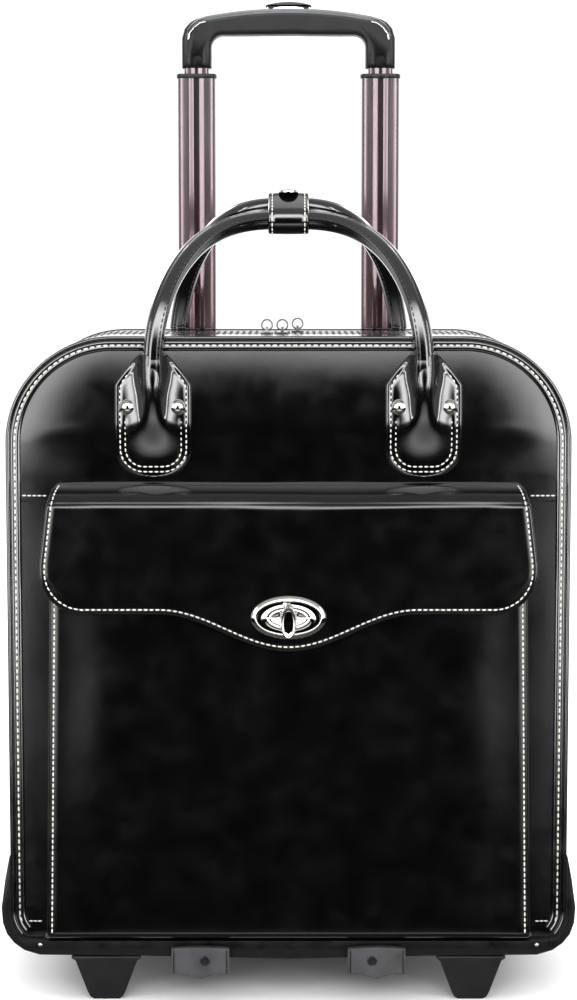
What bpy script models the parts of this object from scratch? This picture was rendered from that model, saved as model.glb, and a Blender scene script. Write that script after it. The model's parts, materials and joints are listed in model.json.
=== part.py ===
"""Rolling laptop case with carry handles, a flap pocket and a rear telescopic trolley.

All shape functions take millimetres and scale them once, in finish_mesh(). The case
stands on the XY plane, faces -Y, and is centred on X = 0. +Z is up.
"""
import math

import bmesh
import bpy
from mathutils import Vector

MM = 0.001
GAP = 0.3                       # clearance between neighbouring pieces

# ---- driving dimensions, in millimetres ---------------------------------------------
HALF_WIDTH = 177.0              # body, without the corner guards
BODY_TOP = 422.3
BODY_BOTTOM = 31.4
TOP_RADIUS = 66.5
FOOT_RADIUS = 24.0
FRONT_Y = -66.0                 # outer face of the front panel
BACK_Y = 64.0                   # outer face of the back panel
PANEL = 3.0                     # leather over board
SKIN = 2.5                      # gusset and flap leather
BINDING_WIDTH = 8.5
BINDING_RAISE = 1.4

TRAY_FRONT = -76.0
TRAY_BACK = 70.0
TRAY_BAND_TOP = 38.0

FRONT_ZIP = (-8.0, -3.0)        # the two edges of the front zip, along Y
REAR_ZIP = (17.0, 22.0)
ZIP_HALF_RUN = 149.5

POCKET_FACE = -89.0
POCKET_BOTTOM = 42.3
POCKET_TOP = 314.0
POCKET_WALL = 2.5
POCKET_HALF = (153.0, 148.5)    # half width at its bottom and its top

FLAP_AXIS = (-68.5, 330.0)      # y, z
FLAP_FACE = -94.5
FLAP_SKIN = 3.0
FLAP_ROLL_DROP = 17.0
FLAP_HALF = (150.0, 155.0)      # half width at the fold and lower down
FLAP_HEM = 251.0
FLAP_LOBE = 23.4                # how far the middle lobe hangs below the hem
FLAP_CORNER = 27.0
LOCK_Z = 249.6
KNOB_Z = 247.2

HANDLE_R = 6.2
HANDLE_PIVOT_Z = 404.0
FRONT_HANDLE = {"x": 85.0, "y": -75.3, "apex_y": -7.0, "rise": 92.0}
REAR_HANDLE = {"x": 76.0, "y": 73.3, "apex_y": 7.0, "rise": 100.6}
TAB_SKIN = 2.5
RIVET_SPREAD = 15.7
RIVET_Z = 379.2

TROLLEY_X = 62.5
TROLLEY_Y = 89.0
OUTER_TUBE = (30.0, 17.4)       # width and depth
MIDDLE_TUBE = (26.0, 14.0)
INNER_TUBE = (17.0, 9.2)
OUTER_TUBE_Z = (46.0, 416.0)
MIDDLE_TUBE_Z = (234.0, 595.0)
INNER_TUBE_Z = (268.0, 606.0)
GRIP_BOTTOM = 599.0
GRIP_INNER_TOP = 621.0
GRIP_CROWN = 638.6
GRIP_HALF = 72.2
GRIP_LEG_INNER = 52.4
GRIP_Y = (81.0, 101.0)
INSERT_HALF = 60.0
INSERT_SKIN = 3.0
BUTTON_HALF = 15.5
BUTTON_TOP = 643.0
CHANNEL = (623.0, 627.5)        # the release bar's channel inside the grip, low and high

WHEEL_X = 128.0
WHEEL_Y = 77.5
WHEEL_R = 24.0
WHEEL_WIDTH = 22.0
AXLE_R = 3.0
HOUSING_HALF = 18.0
HOUSING_R = 31.0

FOOT_X = 116.4
FOOT_TOP = 28.0
TOE_X = 56.0
TOE_HALF = 18.4


# ---- materials ----------------------------------------------------------------------
FINISHES = {
    "leather": ((0.012, 0.012, 0.013), 0.22, 0.0),
    "moulded_black": ((0.020, 0.020, 0.021), 0.45, 0.0),
    "moulded_grey": ((0.075, 0.075, 0.078), 0.55, 0.0),
    "lining": ((0.045, 0.045, 0.050), 0.85, 0.0),
    "board": ((0.060, 0.055, 0.050), 0.80, 0.0),
    "chrome": ((0.80, 0.79, 0.77), 0.12, 1.0),
    "plum_metal": ((0.17, 0.13, 0.145), 0.30, 1.0),
    "steel": ((0.55, 0.55, 0.56), 0.30, 1.0),
    "tyre": ((0.018, 0.018, 0.018), 0.70, 0.0),
}


def material(name):
    """Return the Principled material of one finish, made the first time it is used."""
    found = bpy.data.materials.get(name)
    if found:
        return found
    color, roughness, metallic = FINISHES[name]
    made = bpy.data.materials.new(name)
    made.use_nodes = True
    shader = made.node_tree.nodes["Principled BSDF"]
    shader.inputs["Base Color"].default_value = (*color, 1.0)
    shader.inputs["Roughness"].default_value = roughness
    shader.inputs["Metallic"].default_value = metallic
    made.diffuse_color = (*color, 1.0)
    return made


# ---- mesh helpers -------------------------------------------------------------------
def finish_mesh(name, bm, finish, pivot=(0.0, 0.0, 0.0), smooth=40.0, guide=False):
    """Scale a millimetre bmesh, move its origin to pivot and link it as an object."""
    bmesh.ops.recalc_face_normals(bm, faces=bm.faces[:])
    bmesh.ops.translate(bm, verts=bm.verts[:], vec=-Vector(pivot))
    bmesh.ops.scale(bm, verts=bm.verts[:], vec=(MM, MM, MM))
    mesh = bpy.data.meshes.new(name)
    bm.to_mesh(mesh)
    bm.free()
    mesh.shade_smooth()
    mesh.set_sharp_from_angle(angle=math.radians(smooth))
    made = bpy.data.objects.new(name, mesh)
    made.location = Vector(pivot) * MM
    if guide:
        made.hide_render = True
        made.display_type = "WIRE"
    else:
        mesh.materials.append(material(finish))
    bpy.context.scene.collection.objects.link(made)
    return made


def place(axis, a, b, along):
    """Turn outline coordinates (a, b) and a depth into a point. axis is the depth's."""
    if axis == "X":
        return Vector((along, a, b))
    if axis == "Y":
        return Vector((a, along, b))
    return Vector((a, b, along))


def loft(bm, rings, closed=False):
    """Skin a run of rings that have equal counts; cap both ends unless it is closed."""
    loops = [[bm.verts.new(point) for point in ring] for ring in rings]
    count = len(loops[0])
    pairs = list(zip(loops, loops[1:]))
    if closed:
        pairs.append((loops[-1], loops[0]))
    for low, high in pairs:
        for i in range(count):
            j = (i + 1) % count
            bm.faces.new((low[i], low[j], high[j], high[i]))
    if not closed:
        bm.faces.new(loops[0][::-1])
        bm.faces.new(loops[-1])
    return bm


def prism(outline, axis, low, high):
    """Extrude a closed outline between two depths along an axis."""
    rings = [[place(axis, a, b, depth) for a, b in outline] for depth in (low, high)]
    return loft(bmesh.new(), rings)


def tube_prism(outer, inner, axis, low, high):
    """Extrude the band between two outlines of equal count, open through its middle."""
    bm = bmesh.new()
    rings = [
        [place(axis, a, b, low) for a, b in outer],
        [place(axis, a, b, high) for a, b in outer],
        [place(axis, a, b, high) for a, b in inner],
        [place(axis, a, b, low) for a, b in inner],
    ]
    return loft(bm, rings, closed=True)


def box(low, high, bevel=0.0):
    """A box between two corners, with its edges eased by bevel."""
    bm = bmesh.new()
    bmesh.ops.create_cube(bm, size=1.0)
    size = Vector(high) - Vector(low)
    bmesh.ops.scale(bm, verts=bm.verts[:], vec=size)
    bmesh.ops.translate(bm, verts=bm.verts[:], vec=(Vector(low) + Vector(high)) / 2.0)
    if bevel:
        bmesh.ops.bevel(
            bm, geom=bm.edges[:], offset=bevel, segments=2, profile=0.5, affect="EDGES"
        )
    return bm


def turned(profile, centre, axis, segments=24, closed=True):
    """Turn (radius, depth) points about an axis through centre. Closed profiles are rings."""
    rings = []
    for i in range(segments):
        turn = 2.0 * math.pi * i / segments
        ring = []
        for radius, depth in profile:
            a = radius * math.cos(turn)
            b = radius * math.sin(turn)
            ring.append(place(axis, a, b, depth) + Vector(centre))
        rings.append(ring)
    if closed:
        return loft(bmesh.new(), rings, closed=True)
    return loft(bmesh.new(), [list(ring) for ring in zip(*rings)])


def arc(centre, radius, start, end, steps):
    """Points on an arc, in degrees, both ends included."""
    points = []
    for i in range(steps + 1):
        turn = math.radians(start + (end - start) * i / steps)
        points.append((centre[0] + radius * math.cos(turn), centre[1] + radius * math.sin(turn)))
    return points


def mirrored(points):
    """Close an outline given for x >= 0, bottom to top, with its mirror image."""
    left = [(-a, b) for a, b in reversed(points) if abs(a) > 1e-6]
    return points + left


def rounded_rectangle(width, depth, radius, steps=4, centre=(0.0, 0.0)):
    """A rectangle with round corners about its centre."""
    a = width / 2.0 - radius
    b = depth / 2.0 - radius
    points = []
    for sx, sy, start in ((1, 1, 0), (-1, 1, 90), (-1, -1, 180), (1, -1, 270)):
        corner = (centre[0] + sx * a, centre[1] + sy * b)
        points += arc(corner, radius, start, start + 90, steps)
    return points


def ellipse(half_a, half_b, centre, steps=28):
    """An ellipse outline."""
    points = []
    for i in range(steps):
        turn = 2.0 * math.pi * i / steps
        points.append((centre[0] + half_a * math.cos(turn), centre[1] + half_b * math.sin(turn)))
    return points


def combine(target, guide, operation):
    """Cut a guide from a piece, or join it on, with an exact Boolean."""
    change = target.modifiers.new(operation.lower(), "BOOLEAN")
    change.operation = operation
    change.solver = "EXACT"
    change.object = guide
    return target


def cut(target, bm):
    """Cut a shape from a piece."""
    guide = finish_mesh(f"cutter_{len(bpy.data.objects)}", bm, None, guide=True)
    return combine(target, guide, "DIFFERENCE")


def join(target, bm):
    """Join a shape on to a piece."""
    guide = finish_mesh(f"joined_{len(bpy.data.objects)}", bm, None, guide=True)
    return combine(target, guide, "UNION")


def sides():
    """The two sides of the case: name and sign of X."""
    return (("left", -1.0), ("right", 1.0))


# ---- body shell ---------------------------------------------------------------------
def panel_outline(inset=0.0, steps=9):
    """The body's outline seen from the front, moved in by inset."""
    half = HALF_WIDTH - inset
    low = BODY_BOTTOM + inset
    foot = FOOT_RADIUS - inset
    top = TOP_RADIUS - inset
    right = arc((half - foot, low + foot), foot, -90, 0, 5)
    right += arc((HALF_WIDTH - TOP_RADIUS, BODY_TOP - TOP_RADIUS), top, 0, 90, steps)
    return mirrored(right)


def wheel_notch(side):
    """The space in a rear lower corner that a wheel housing takes."""
    low = side * WHEEL_X - HOUSING_HALF - GAP
    high = side * WHEEL_X + HOUSING_HALF + GAP
    return box((low, WHEEL_Y - HOUSING_R - GAP, -5.0), (high, 130.0, 25.0 + HOUSING_R + GAP))


def body_panels():
    """The leather-covered front and back boards."""
    finish_mesh("front_panel", prism(panel_outline(), "Y", FRONT_Y, FRONT_Y + PANEL), "leather")
    back = prism(panel_outline(), "Y", BACK_Y - PANEL, BACK_Y)
    back = finish_mesh("back_panel", back, "leather")
    for _, side in sides():
        cut(back, wheel_notch(side))


def edge_binding(name, low, high):
    """A flat band of leather that covers a panel's raw edge, open below the corner guards."""
    centre = (HALF_WIDTH - TOP_RADIUS, BODY_TOP - TOP_RADIUS)
    outer = [(HALF_WIDTH, 96.0)] + arc(centre, TOP_RADIUS, 0, 90, 9)
    inset = TOP_RADIUS - BINDING_WIDTH
    inner = [(HALF_WIDTH - BINDING_WIDTH, 96.0)] + arc(centre, inset, 0, 90, 9)
    band = outer + [(-a, b) for a, b in reversed(outer)]
    back = inner + [(-a, b) for a, b in reversed(inner)]
    return finish_mesh(name, prism(band + back[::-1], "Y", low, high), "leather")


def outline_strip(start, end, thickness, steps=9):
    """The body's top and corner outline between two angles of the right-hand corner."""
    centre = (HALF_WIDTH - TOP_RADIUS, BODY_TOP - TOP_RADIUS)
    outer = arc(centre, TOP_RADIUS, start, end, steps)
    inner = arc(centre, TOP_RADIUS - thickness, start, end, steps)
    return outer, inner


def zip_end_angle(run):
    """The angle on the top corner where the outline is at x = run."""
    return math.degrees(math.acos((run - (HALF_WIDTH - TOP_RADIUS)) / TOP_RADIUS))


def gussets():
    """The side walls, from the bottom board round the top corners to the zips' ends."""
    foot = (HALF_WIDTH - FOOT_RADIUS, BODY_BOTTOM + FOOT_RADIUS)
    outer, inner = outline_strip(0.0, zip_end_angle(ZIP_HALF_RUN + 0.6), SKIN, 6)
    outer = arc(foot, FOOT_RADIUS, -90, 0, 5) + outer
    inner = arc(foot, FOOT_RADIUS - SKIN, -90, 0, 5) + inner
    band = outer + inner[::-1]
    for name, side in sides():
        shape = [(side * a, b) for a, b in band]
        strip = prism(shape, "Y", FRONT_Y + PANEL + GAP, BACK_Y - PANEL - GAP)
        finish_mesh(f"gusset_{name}", strip, "leather")


def top_strip(low, high, thickness):
    """A strip over the top of the case, as long as the zips."""
    outer, inner = outline_strip(zip_end_angle(ZIP_HALF_RUN), 90.0, thickness, 5)
    band = outer + [(-a, b) for a, b in reversed(outer)]
    back = inner + [(-a, b) for a, b in reversed(inner)]
    return prism(band + back[::-1], "Y", low, high)


def zip_flaps():
    """The strips on each side of the zips, which fold back when a zip is open."""
    front_edge = FRONT_Y + PANEL + GAP
    rear_edge = BACK_Y - PANEL - GAP
    front = top_strip(front_edge, FRONT_ZIP[0], SKIN)
    finish_mesh("front_zip_flap", front, "leather", pivot=(0.0, front_edge, BODY_TOP))
    rear = top_strip(REAR_ZIP[1], rear_edge, SKIN)
    finish_mesh("rear_zip_flap", rear, "leather", pivot=(0.0, rear_edge, BODY_TOP))


def centre_divider():
    """The board between the two compartments, with the strip that both zips are sewn to."""
    thickness = SKIN + 0.8
    strip = top_strip(FRONT_ZIP[1], REAR_ZIP[0], thickness)
    divider = finish_mesh("centre_divider", strip, "lining")
    middle = (FRONT_ZIP[1] + REAR_ZIP[0]) / 2.0
    inset = SKIN + GAP
    outline = [(a, max(b, BODY_BOTTOM + 3.4)) for a, b in panel_outline(inset)]
    join(divider, prism(outline, "Y", middle - 1.5, middle + 1.5))


def base_tray():
    """The moulded base: a shallow tray whose ends rise as guards round the lower corners."""
    guard = [(177.6, 93.0), (180.4, 78.0), (182.9, 60.0), (182.2, 50.0), (179.6, 42.5)]
    guard += [(174.9, 36.6), (168.5, 32.0), (158.6, 29.0), (95.0, 28.4), (0.0, 26.4)]
    shell = finish_mesh(
        "base_tray", prism(mirrored(guard[::-1]), "Y", TRAY_FRONT, TRAY_BACK), "moulded_black"
    )
    well = [(a, b) for a, b in panel_outline(-GAP)]
    cut(shell, prism(well, "Y", FRONT_Y - GAP, BACK_Y + GAP))
    for low, high in ((TRAY_FRONT - 20.0, FRONT_Y - 0.1), (BACK_Y + 0.1, TRAY_BACK + 20.0)):
        above = [(a, max(b, TRAY_BAND_TOP)) for a, b in panel_outline(-GAP)]
        cut(shell, prism(above, "Y", low, high))
    for _, side in sides():
        cut(shell, wheel_notch(side))


def bottom_board():
    """The stiff board that lies in the tray, under the lining."""
    low = BODY_BOTTOM
    board = box((-152.0, FRONT_Y + PANEL + GAP, low), (152.0, BACK_Y - PANEL - GAP, low + 3.0))
    board = finish_mesh("bottom_board", board, "board")
    for _, side in sides():
        cut(board, wheel_notch(side))


# ---- front pocket, flap and lock ----------------------------------------------------
def front_pocket():
    """The pocket: a front wall, two sides and a floor, open above and closed by the panel."""
    low, high = POCKET_HALF
    shape = mirrored([(low, POCKET_BOTTOM), (high, POCKET_TOP)])
    pocket = prism(shape, "Y", POCKET_FACE, FRONT_Y - GAP)
    bmesh.ops.bevel(
        pocket,
        geom=[e for e in pocket.edges if upright_front_edge(e)],
        offset=5.0, segments=3, profile=0.5, affect="EDGES",
    )
    pocket = finish_mesh("front_pocket", pocket, "leather")
    hollow = mirrored([
        (low - POCKET_WALL, POCKET_BOTTOM + POCKET_WALL),
        (high - POCKET_WALL - 0.2, POCKET_TOP + 20.0),
    ])
    cut(pocket, prism(hollow, "Y", POCKET_FACE + POCKET_WALL, FRONT_Y + 20.0))


def upright_front_edge(edge):
    """True for an edge on the pocket's face that runs up one of its sides."""
    a, b = (v.co for v in edge.verts)
    return abs(a.y - POCKET_FACE) < 0.01 and abs(b.y - POCKET_FACE) < 0.01 and abs(a.z - b.z) > 50.0


def flap_hem(x):
    """Height of the flap's lower edge at x: round corners, a straight hem and a middle lobe."""
    x = abs(x)
    corner = FLAP_HALF[1] - FLAP_CORNER
    if x > corner:
        inside = max(FLAP_CORNER ** 2 - (x - corner) ** 2, 0.0)
        return FLAP_HEM + FLAP_CORNER - math.sqrt(inside)
    if x > 65.0:
        return FLAP_HEM
    lobe = 0.5 + 0.5 * math.cos(math.pi * (x / 65.0) ** 0.85)
    return FLAP_HEM - FLAP_LOBE * lobe


def flap_path(bottom, face, fold_z):
    """The flap's section from its root, round the fold and down to bottom, as (y, z)."""
    root = (FRONT_Y - 1.0, fold_z)
    reach = root[0] - face
    points = []
    for i in range(7):
        turn = math.radians(90.0 * i / 6)
        y = root[0] - reach * math.sin(turn)
        z = fold_z - FLAP_ROLL_DROP * (1.0 - math.cos(turn))
        points.append((y, z))
    shoulder = points[-1][1]
    for part in (0.35, 0.7, 1.0):
        points.append((face, shoulder + (bottom - shoulder) * part))
    return points


def flap():
    """The pocket's flap: it folds out over the pocket's mouth and hangs down its front."""
    columns = [-155.0, -153.5, -149.5, -143.0, -135.5, -128.0, -96.0, -65.0]
    columns += [-54.0, -43.0, -32.0, -21.0, -10.0]
    columns += [0.0] + [-x for x in reversed(columns)]
    rings = []
    for x in columns:
        bottom = flap_hem(x)
        outer = flap_path(bottom, FLAP_FACE, FLAP_AXIS[1] + 1.5)
        inner = flap_path(bottom, FLAP_FACE + FLAP_SKIN, FLAP_AXIS[1] + 1.5 - FLAP_SKIN)
        ring = []
        for y, z in outer + inner[::-1]:
            taper = min(max((z - 282.0) / 40.0, 0.0), 1.0)
            narrow = 1.0 - taper * (1.0 - FLAP_HALF[0] / FLAP_HALF[1])
            ring.append(Vector((x * narrow, y, z)))
        rings.append(ring)
    pivot = (0.0, FLAP_AXIS[0], FLAP_AXIS[1])
    shell = loft(bmesh.new(), rings)
    bmesh.ops.triangulate(shell, faces=shell.faces[:])
    piece = finish_mesh("flap", shell, "leather", pivot=pivot)
    hole = ellipse(2.6, 2.6, (0.0, KNOB_Z), 14)
    cut(piece, prism(hole, "Y", FLAP_FACE - 10.0, FLAP_FACE + 15.0))


def turn_lock():
    """The plate on the flap, its turning knob, and the strike on the pocket behind it."""
    face = FLAP_FACE - GAP
    outer = ellipse(23.5, 13.6, (0.0, LOCK_Z))
    hole = ellipse(2.6, 2.6, (0.0, KNOB_Z))
    finish_mesh("lock_plate", tube_prism(outer, hole, "Y", face - 1.9, face), "chrome")
    knob = prism(ellipse(5.1, 10.05, (0.0, KNOB_Z), 20), "Y", -101.5, face - 1.9 - GAP)
    pivot = (0.0, face, KNOB_Z)
    knob = finish_mesh("turn_knob", knob, "chrome", pivot=pivot)
    join(knob, prism(ellipse(2.1, 2.1, (0.0, KNOB_Z), 16), "Y", face - 3.0, FLAP_FACE + FLAP_SKIN))
    wall = POCKET_FACE - GAP
    outer = ellipse(14.0, 8.0, (0.0, KNOB_Z), 24)
    inner = ellipse(8.0, 4.0, (0.0, KNOB_Z), 24)
    finish_mesh("lock_strike", tube_prism(outer, inner, "Y", wall - 1.2, wall), "chrome")


# ---- carry handles ------------------------------------------------------------------
def handle_point(shape, turn):
    """Centre of a handle's core; turn runs from -90 at its left leg to 90 at its right."""
    part = math.radians(90.0 - abs(turn))
    reach = max(math.cos(part), 0.0) ** 0.68
    height = math.sin(part)
    x = math.copysign(shape["x"] * reach, turn)
    y = shape["y"] + (shape["apex_y"] - shape["y"]) * height ** 2.6
    return Vector((x, y, HANDLE_PIVOT_Z + shape["rise"] * height))


def swept(points, radius, around, ends):
    """A round bar along points, its ends closed by smaller rings like a thimble."""
    rings = []
    normal = Vector((0.0, -1.0, 0.0))
    for i, point in enumerate(points):
        before = points[max(i - 1, 0)]
        after = points[min(i + 1, len(points) - 1)]
        tangent = (after - before).normalized()
        normal = (normal - tangent * normal.dot(tangent)).normalized()
        across = tangent.cross(normal)
        ring = []
        for j in range(around):
            turn = 2.0 * math.pi * j / around
            offset = normal * math.cos(turn) + across * math.sin(turn)
            ring.append(point + offset * radius * ends[i])
        rings.append(ring)
    return loft(bmesh.new(), rings)


def carry_handle(name, shape):
    """One round handle of rolled leather, with domed ends on its hinge axis."""
    turns = [-90.0 + 180.0 * i / 24 for i in range(25)]
    core = [handle_point(shape, turn) for turn in turns]
    down = Vector((0.0, 0.0, -1.0))
    cap = [(0.45, 0.89), (0.8, 0.6), (0.97, 0.22)]
    first = [core[0] + down * HANDLE_R * drop for drop in (cap[2][0], cap[1][0], cap[0][0])]
    last = [core[-1] + down * HANDLE_R * drop for drop in (cap[0][0], cap[1][0], cap[2][0])]
    sizes = [0.25, 0.6, 0.89] + [1.0] * len(core) + [0.89, 0.6, 0.25]
    pivot = (0.0, shape["y"], HANDLE_PIVOT_Z)
    bar = swept(first + core + last, HANDLE_R, 10, sizes)
    return finish_mesh(name, bar, "leather", pivot=pivot)


def tab_outline(centre):
    """A shield-shaped leather tab: wide and round below, narrowing into the handle."""
    right = [(0.0, 335.0)] + arc((6.0, 353.0), 18.0, -90, 0, 5)
    right += [(24.0, 388.0), (20.5, 396.0), (14.0, 401.5), (8.6, 405.5), (6.4, 409.0)]
    return [(centre + a, b) for a, b in mirrored(right)]


def handle_tabs():
    """The four tabs, and the rivets of the two front ones."""
    front = (FRONT_Y - GAP - TAB_SKIN, FRONT_Y - GAP)
    rear = (BACK_Y + GAP, BACK_Y + GAP + TAB_SKIN)
    for name, side in sides():
        x = side * FRONT_HANDLE["x"]
        finish_mesh(f"front_tab_{name}", prism(tab_outline(x), "Y", *front), "leather")
        for place_name, shift in (("outer", side), ("inner", -side)):
            rivet(f"rivet_{name}_{place_name}", x + shift * RIVET_SPREAD, front[0] - GAP)
        x = side * REAR_HANDLE["x"]
        finish_mesh(f"rear_tab_{name}", prism(tab_outline(x), "Y", *rear), "leather")


def rivet(name, x, face):
    """A domed rivet head on a tab."""
    dome = [(4.85, 0.0), (4.6, -1.3), (3.4, -2.6), (1.5, -3.3)]
    shape = turned(dome, (x, face, RIVET_Z), "Y", 14, closed=False)
    finish_mesh(name, shape, "chrome")


def keeper():
    """The wrap on the front handle that also hoods the rear one, with its press stud."""
    front = handle_point(FRONT_HANDLE, 0.0)
    rear = handle_point(REAR_HANDLE, 0.0)
    clear = HANDLE_R + 1.15
    skin = 2.1
    low, high = -13.0, 13.0
    front_c = (front.y, front.z)
    rear_c = (rear.y, rear.z)
    outline = arc(front_c, clear + skin, -60, -241, 9)
    outline += arc(rear_c, clear + skin, 119, 60, 5)
    outline += arc(rear_c, clear * 0.6, 60, 200, 4)
    outline += arc(front_c, clear + skin, 30, -59, 4)
    piece = finish_mesh(
        "handle_keeper", prism(outline, "X", low, high), "leather",
        pivot=(0.0, FRONT_HANDLE["y"], HANDLE_PIVOT_Z),
    )
    for centre in (front_c, rear_c):
        bore = ellipse(clear, clear, centre, 20)
        cut(piece, prism(bore, "X", low - 5.0, high + 5.0))
    crown = rear.z + clear + skin + GAP
    dome = [(6.5, 0.0), (6.2, 1.2), (4.0, 2.2), (1.6, 2.6)]
    stud = turned(dome, (0.0, rear.y - 3.5, crown), "Z", 18, closed=False)
    finish_mesh("keeper_snap", stud, "chrome")


# ---- zips ---------------------------------------------------------------------------
def zip_slider(name, x, y):
    """A slider that rides on a zip, with a narrow bridge that its ring passes under."""
    base = BODY_TOP + GAP
    plate = box((x - 4.0, y - 4.5, base), (x + 4.0, y + 4.5, base + 1.0), 0.3)
    slider = finish_mesh(f"{name}_slider", plate, "chrome")
    join(slider, box((x - 1.0, y - 3.8, base + 0.5), (x + 1.0, y + 3.8, base + 4.4)))
    cut(slider, box((x - 6.0, y - 2.6, base + 1.0), (x + 6.0, y + 2.6, base + 3.3)))
    reach = 3.4
    wire = 0.55
    middle = Vector((x, y, base + 2.1 + reach))
    profile = []
    for turn in range(0, 360, 60):
        part = math.radians(turn)
        profile.append((reach + wire * math.cos(part), wire * math.sin(part)))
    ring = turned(profile, middle, "Y", 18)
    finish_mesh(f"{name}_ring", ring, "chrome", pivot=(x, y, base + 3.9))


def zips():
    """Two sliders that meet on the front zip, and one on the rear zip."""
    zip_slider("front_zip_left", -14.0, sum(FRONT_ZIP) / 2.0)
    zip_slider("front_zip_right", -4.0, sum(FRONT_ZIP) / 2.0)
    zip_slider("rear_zip", 6.0, sum(REAR_ZIP) / 2.0)


# ---- trolley ------------------------------------------------------------------------
def tube_section(width, depth, centre_x, groove=0.0):
    """A flat-oval tube section; a groove runs down the middle of both broad faces."""
    radius = depth / 2.0 - 0.6
    plain = rounded_rectangle(width, depth, radius, 4)
    if groove:
        half = 3.3
        top = depth / 2.0
        dip = top - groove
        upper = [(half + 0.6, top), (half - 0.6, dip), (-half + 0.6, dip), (-half - 0.6, top)]
        plain = plain[:5] + upper + plain[5:15] + [(-a, -b) for a, b in upper] + plain[15:]
    return [(centre_x + a, TROLLEY_Y + b) for a, b in plain]


def hollow_tube(name, finish, x, size, wall, span, groove):
    """One length of tube, open at both ends."""
    inner_size = (size[0] - 2.0 * wall, size[1] - 2.0 * wall)
    outer = tube_section(size[0], size[1], x, groove)
    inner = tube_section(inner_size[0], inner_size[1], x, groove)
    return finish_mesh(name, tube_prism(outer, inner, "Z", *span), finish)


def trolley_tubes():
    """Three nested tubes on each side."""
    for name, side in sides():
        x = side * TROLLEY_X
        hollow_tube(f"outer_tube_{name}", "steel", x, OUTER_TUBE, 1.3, OUTER_TUBE_Z, 0.0)
        hollow_tube(f"middle_tube_{name}", "plum_metal", x, MIDDLE_TUBE, 1.1, MIDDLE_TUBE_Z, 0.9)
        hollow_tube(f"inner_tube_{name}", "plum_metal", x, INNER_TUBE, 1.0, INNER_TUBE_Z, 0.0)


def trolley_top_bracket():
    """The bridge across the tubes' tops, screwed to the back panel, with the two sockets."""
    top = OUTER_TUBE_Z[1]
    low = box((-45.0, BACK_Y + 2.0, top - 20.0), (45.0, TROLLEY_Y + 6.0, top + 4.0), 1.5)
    bracket = finish_mesh("trolley_top_bracket", low, "moulded_black")
    for _, side in sides():
        x = side * TROLLEY_X
        centre = (x, TROLLEY_Y + 0.2)
        collar = rounded_rectangle(OUTER_TUBE[0] + 1.0, OUTER_TUBE[1] - 0.4, 6.0, 4, centre)
        join(bracket, prism(collar, "Z", top + GAP, top + 4.0))
        left, right = sorted((side * 44.0, x))
        bridge = box((left, TROLLEY_Y - 4.0, top + GAP), (right, TROLLEY_Y + 6.0, top + 4.0))
        join(bracket, bridge)
        hole_size = (MIDDLE_TUBE[0] + 0.8, MIDDLE_TUBE[1] + 0.8)
        hole = rounded_rectangle(*hole_size, 6.6, 4, (x, TROLLEY_Y))
        cut(bracket, prism(hole, "Z", top - 5.0, top + 15.0))
    finger = box((-34.0, BACK_Y + 4.0, top - 30.0), (34.0, TROLLEY_Y + 3.0, top - 3.0))
    cut(bracket, finger)


def trolley_cradle():
    """The lower frame: a crossbar that holds both outer tubes, and two arms under the base."""
    low = 20.0
    bar = box((-82.0, 71.5, low), (82.0, TROLLEY_Y + 9.5, 43.0), 1.5)
    cradle = finish_mesh("trolley_cradle", bar, "moulded_black")
    for _, side in sides():
        x = side * TOE_X
        arm = box((x - 15.0, -79.5, low + 0.5), (x + 15.0, 80.0, 26.0))
        join(cradle, arm)
        centre = (side * TROLLEY_X, TROLLEY_Y)
        socket_size = (OUTER_TUBE[0] + 5.0, OUTER_TUBE[1] + 2.4)
        socket = rounded_rectangle(*socket_size, 7.0, 4, (centre[0], centre[1] + 0.2))
        join(cradle, prism(socket, "Z", 40.0, 62.0))
        seat = rounded_rectangle(OUTER_TUBE[0] + 0.7, OUTER_TUBE[1] + 0.7, 8.3, 4, centre)
        cut(cradle, prism(seat, "Z", OUTER_TUBE_Z[0] - GAP, 90.0))
        drain = ellipse(6.0, 4.0, centre, 12)
        cut(cradle, prism(drain, "Z", 0.0, 90.0))


def toe_lips():
    """The grey upturned ends of the two arms, in front of the base's lower edge."""
    for name, side in sides():
        x = side * TOE_X
        outline = [(x - TOE_HALF, 18.8), (x - 10.0, 18.8), (x, 16.2), (x + 10.0, 18.8)]
        outline += [(x + TOE_HALF, 18.8), (x + TOE_HALF, 35.6), (x, 36.4), (x - TOE_HALF, 35.6)]
        lip = prism(outline, "Y", -85.5, -79.8)
        finish_mesh(f"toe_lip_{name}", lip, "moulded_grey")


def trolley_sleeve():
    """The leather cover over the tubes: a broad back wall with two sides, open at its ends."""
    outer = [(99.5, BACK_Y + GAP), (99.5, 95.7), (94.5, 100.7)]
    inner = [(97.0, BACK_Y + GAP), (97.0, 94.7), (93.4, 98.2)]
    band = outer + [(-a, b) for a, b in reversed(outer)]
    back = inner + [(-a, b) for a, b in reversed(inner)]
    sleeve = prism(band + back[::-1], "Z", 66.0, 330.0)
    finish_mesh("trolley_sleeve", sleeve, "leather")


def grip_crown(half, drop=0.0):
    """The gentle arch of the grip's top, from x = half to the middle."""
    count = 6
    points = []
    for i in range(count + 1):
        x = half * (1.0 - i / count)
        points.append((x, GRIP_CROWN - 6.0 * (x / INSERT_HALF) ** 2 - drop))
    return points


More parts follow.
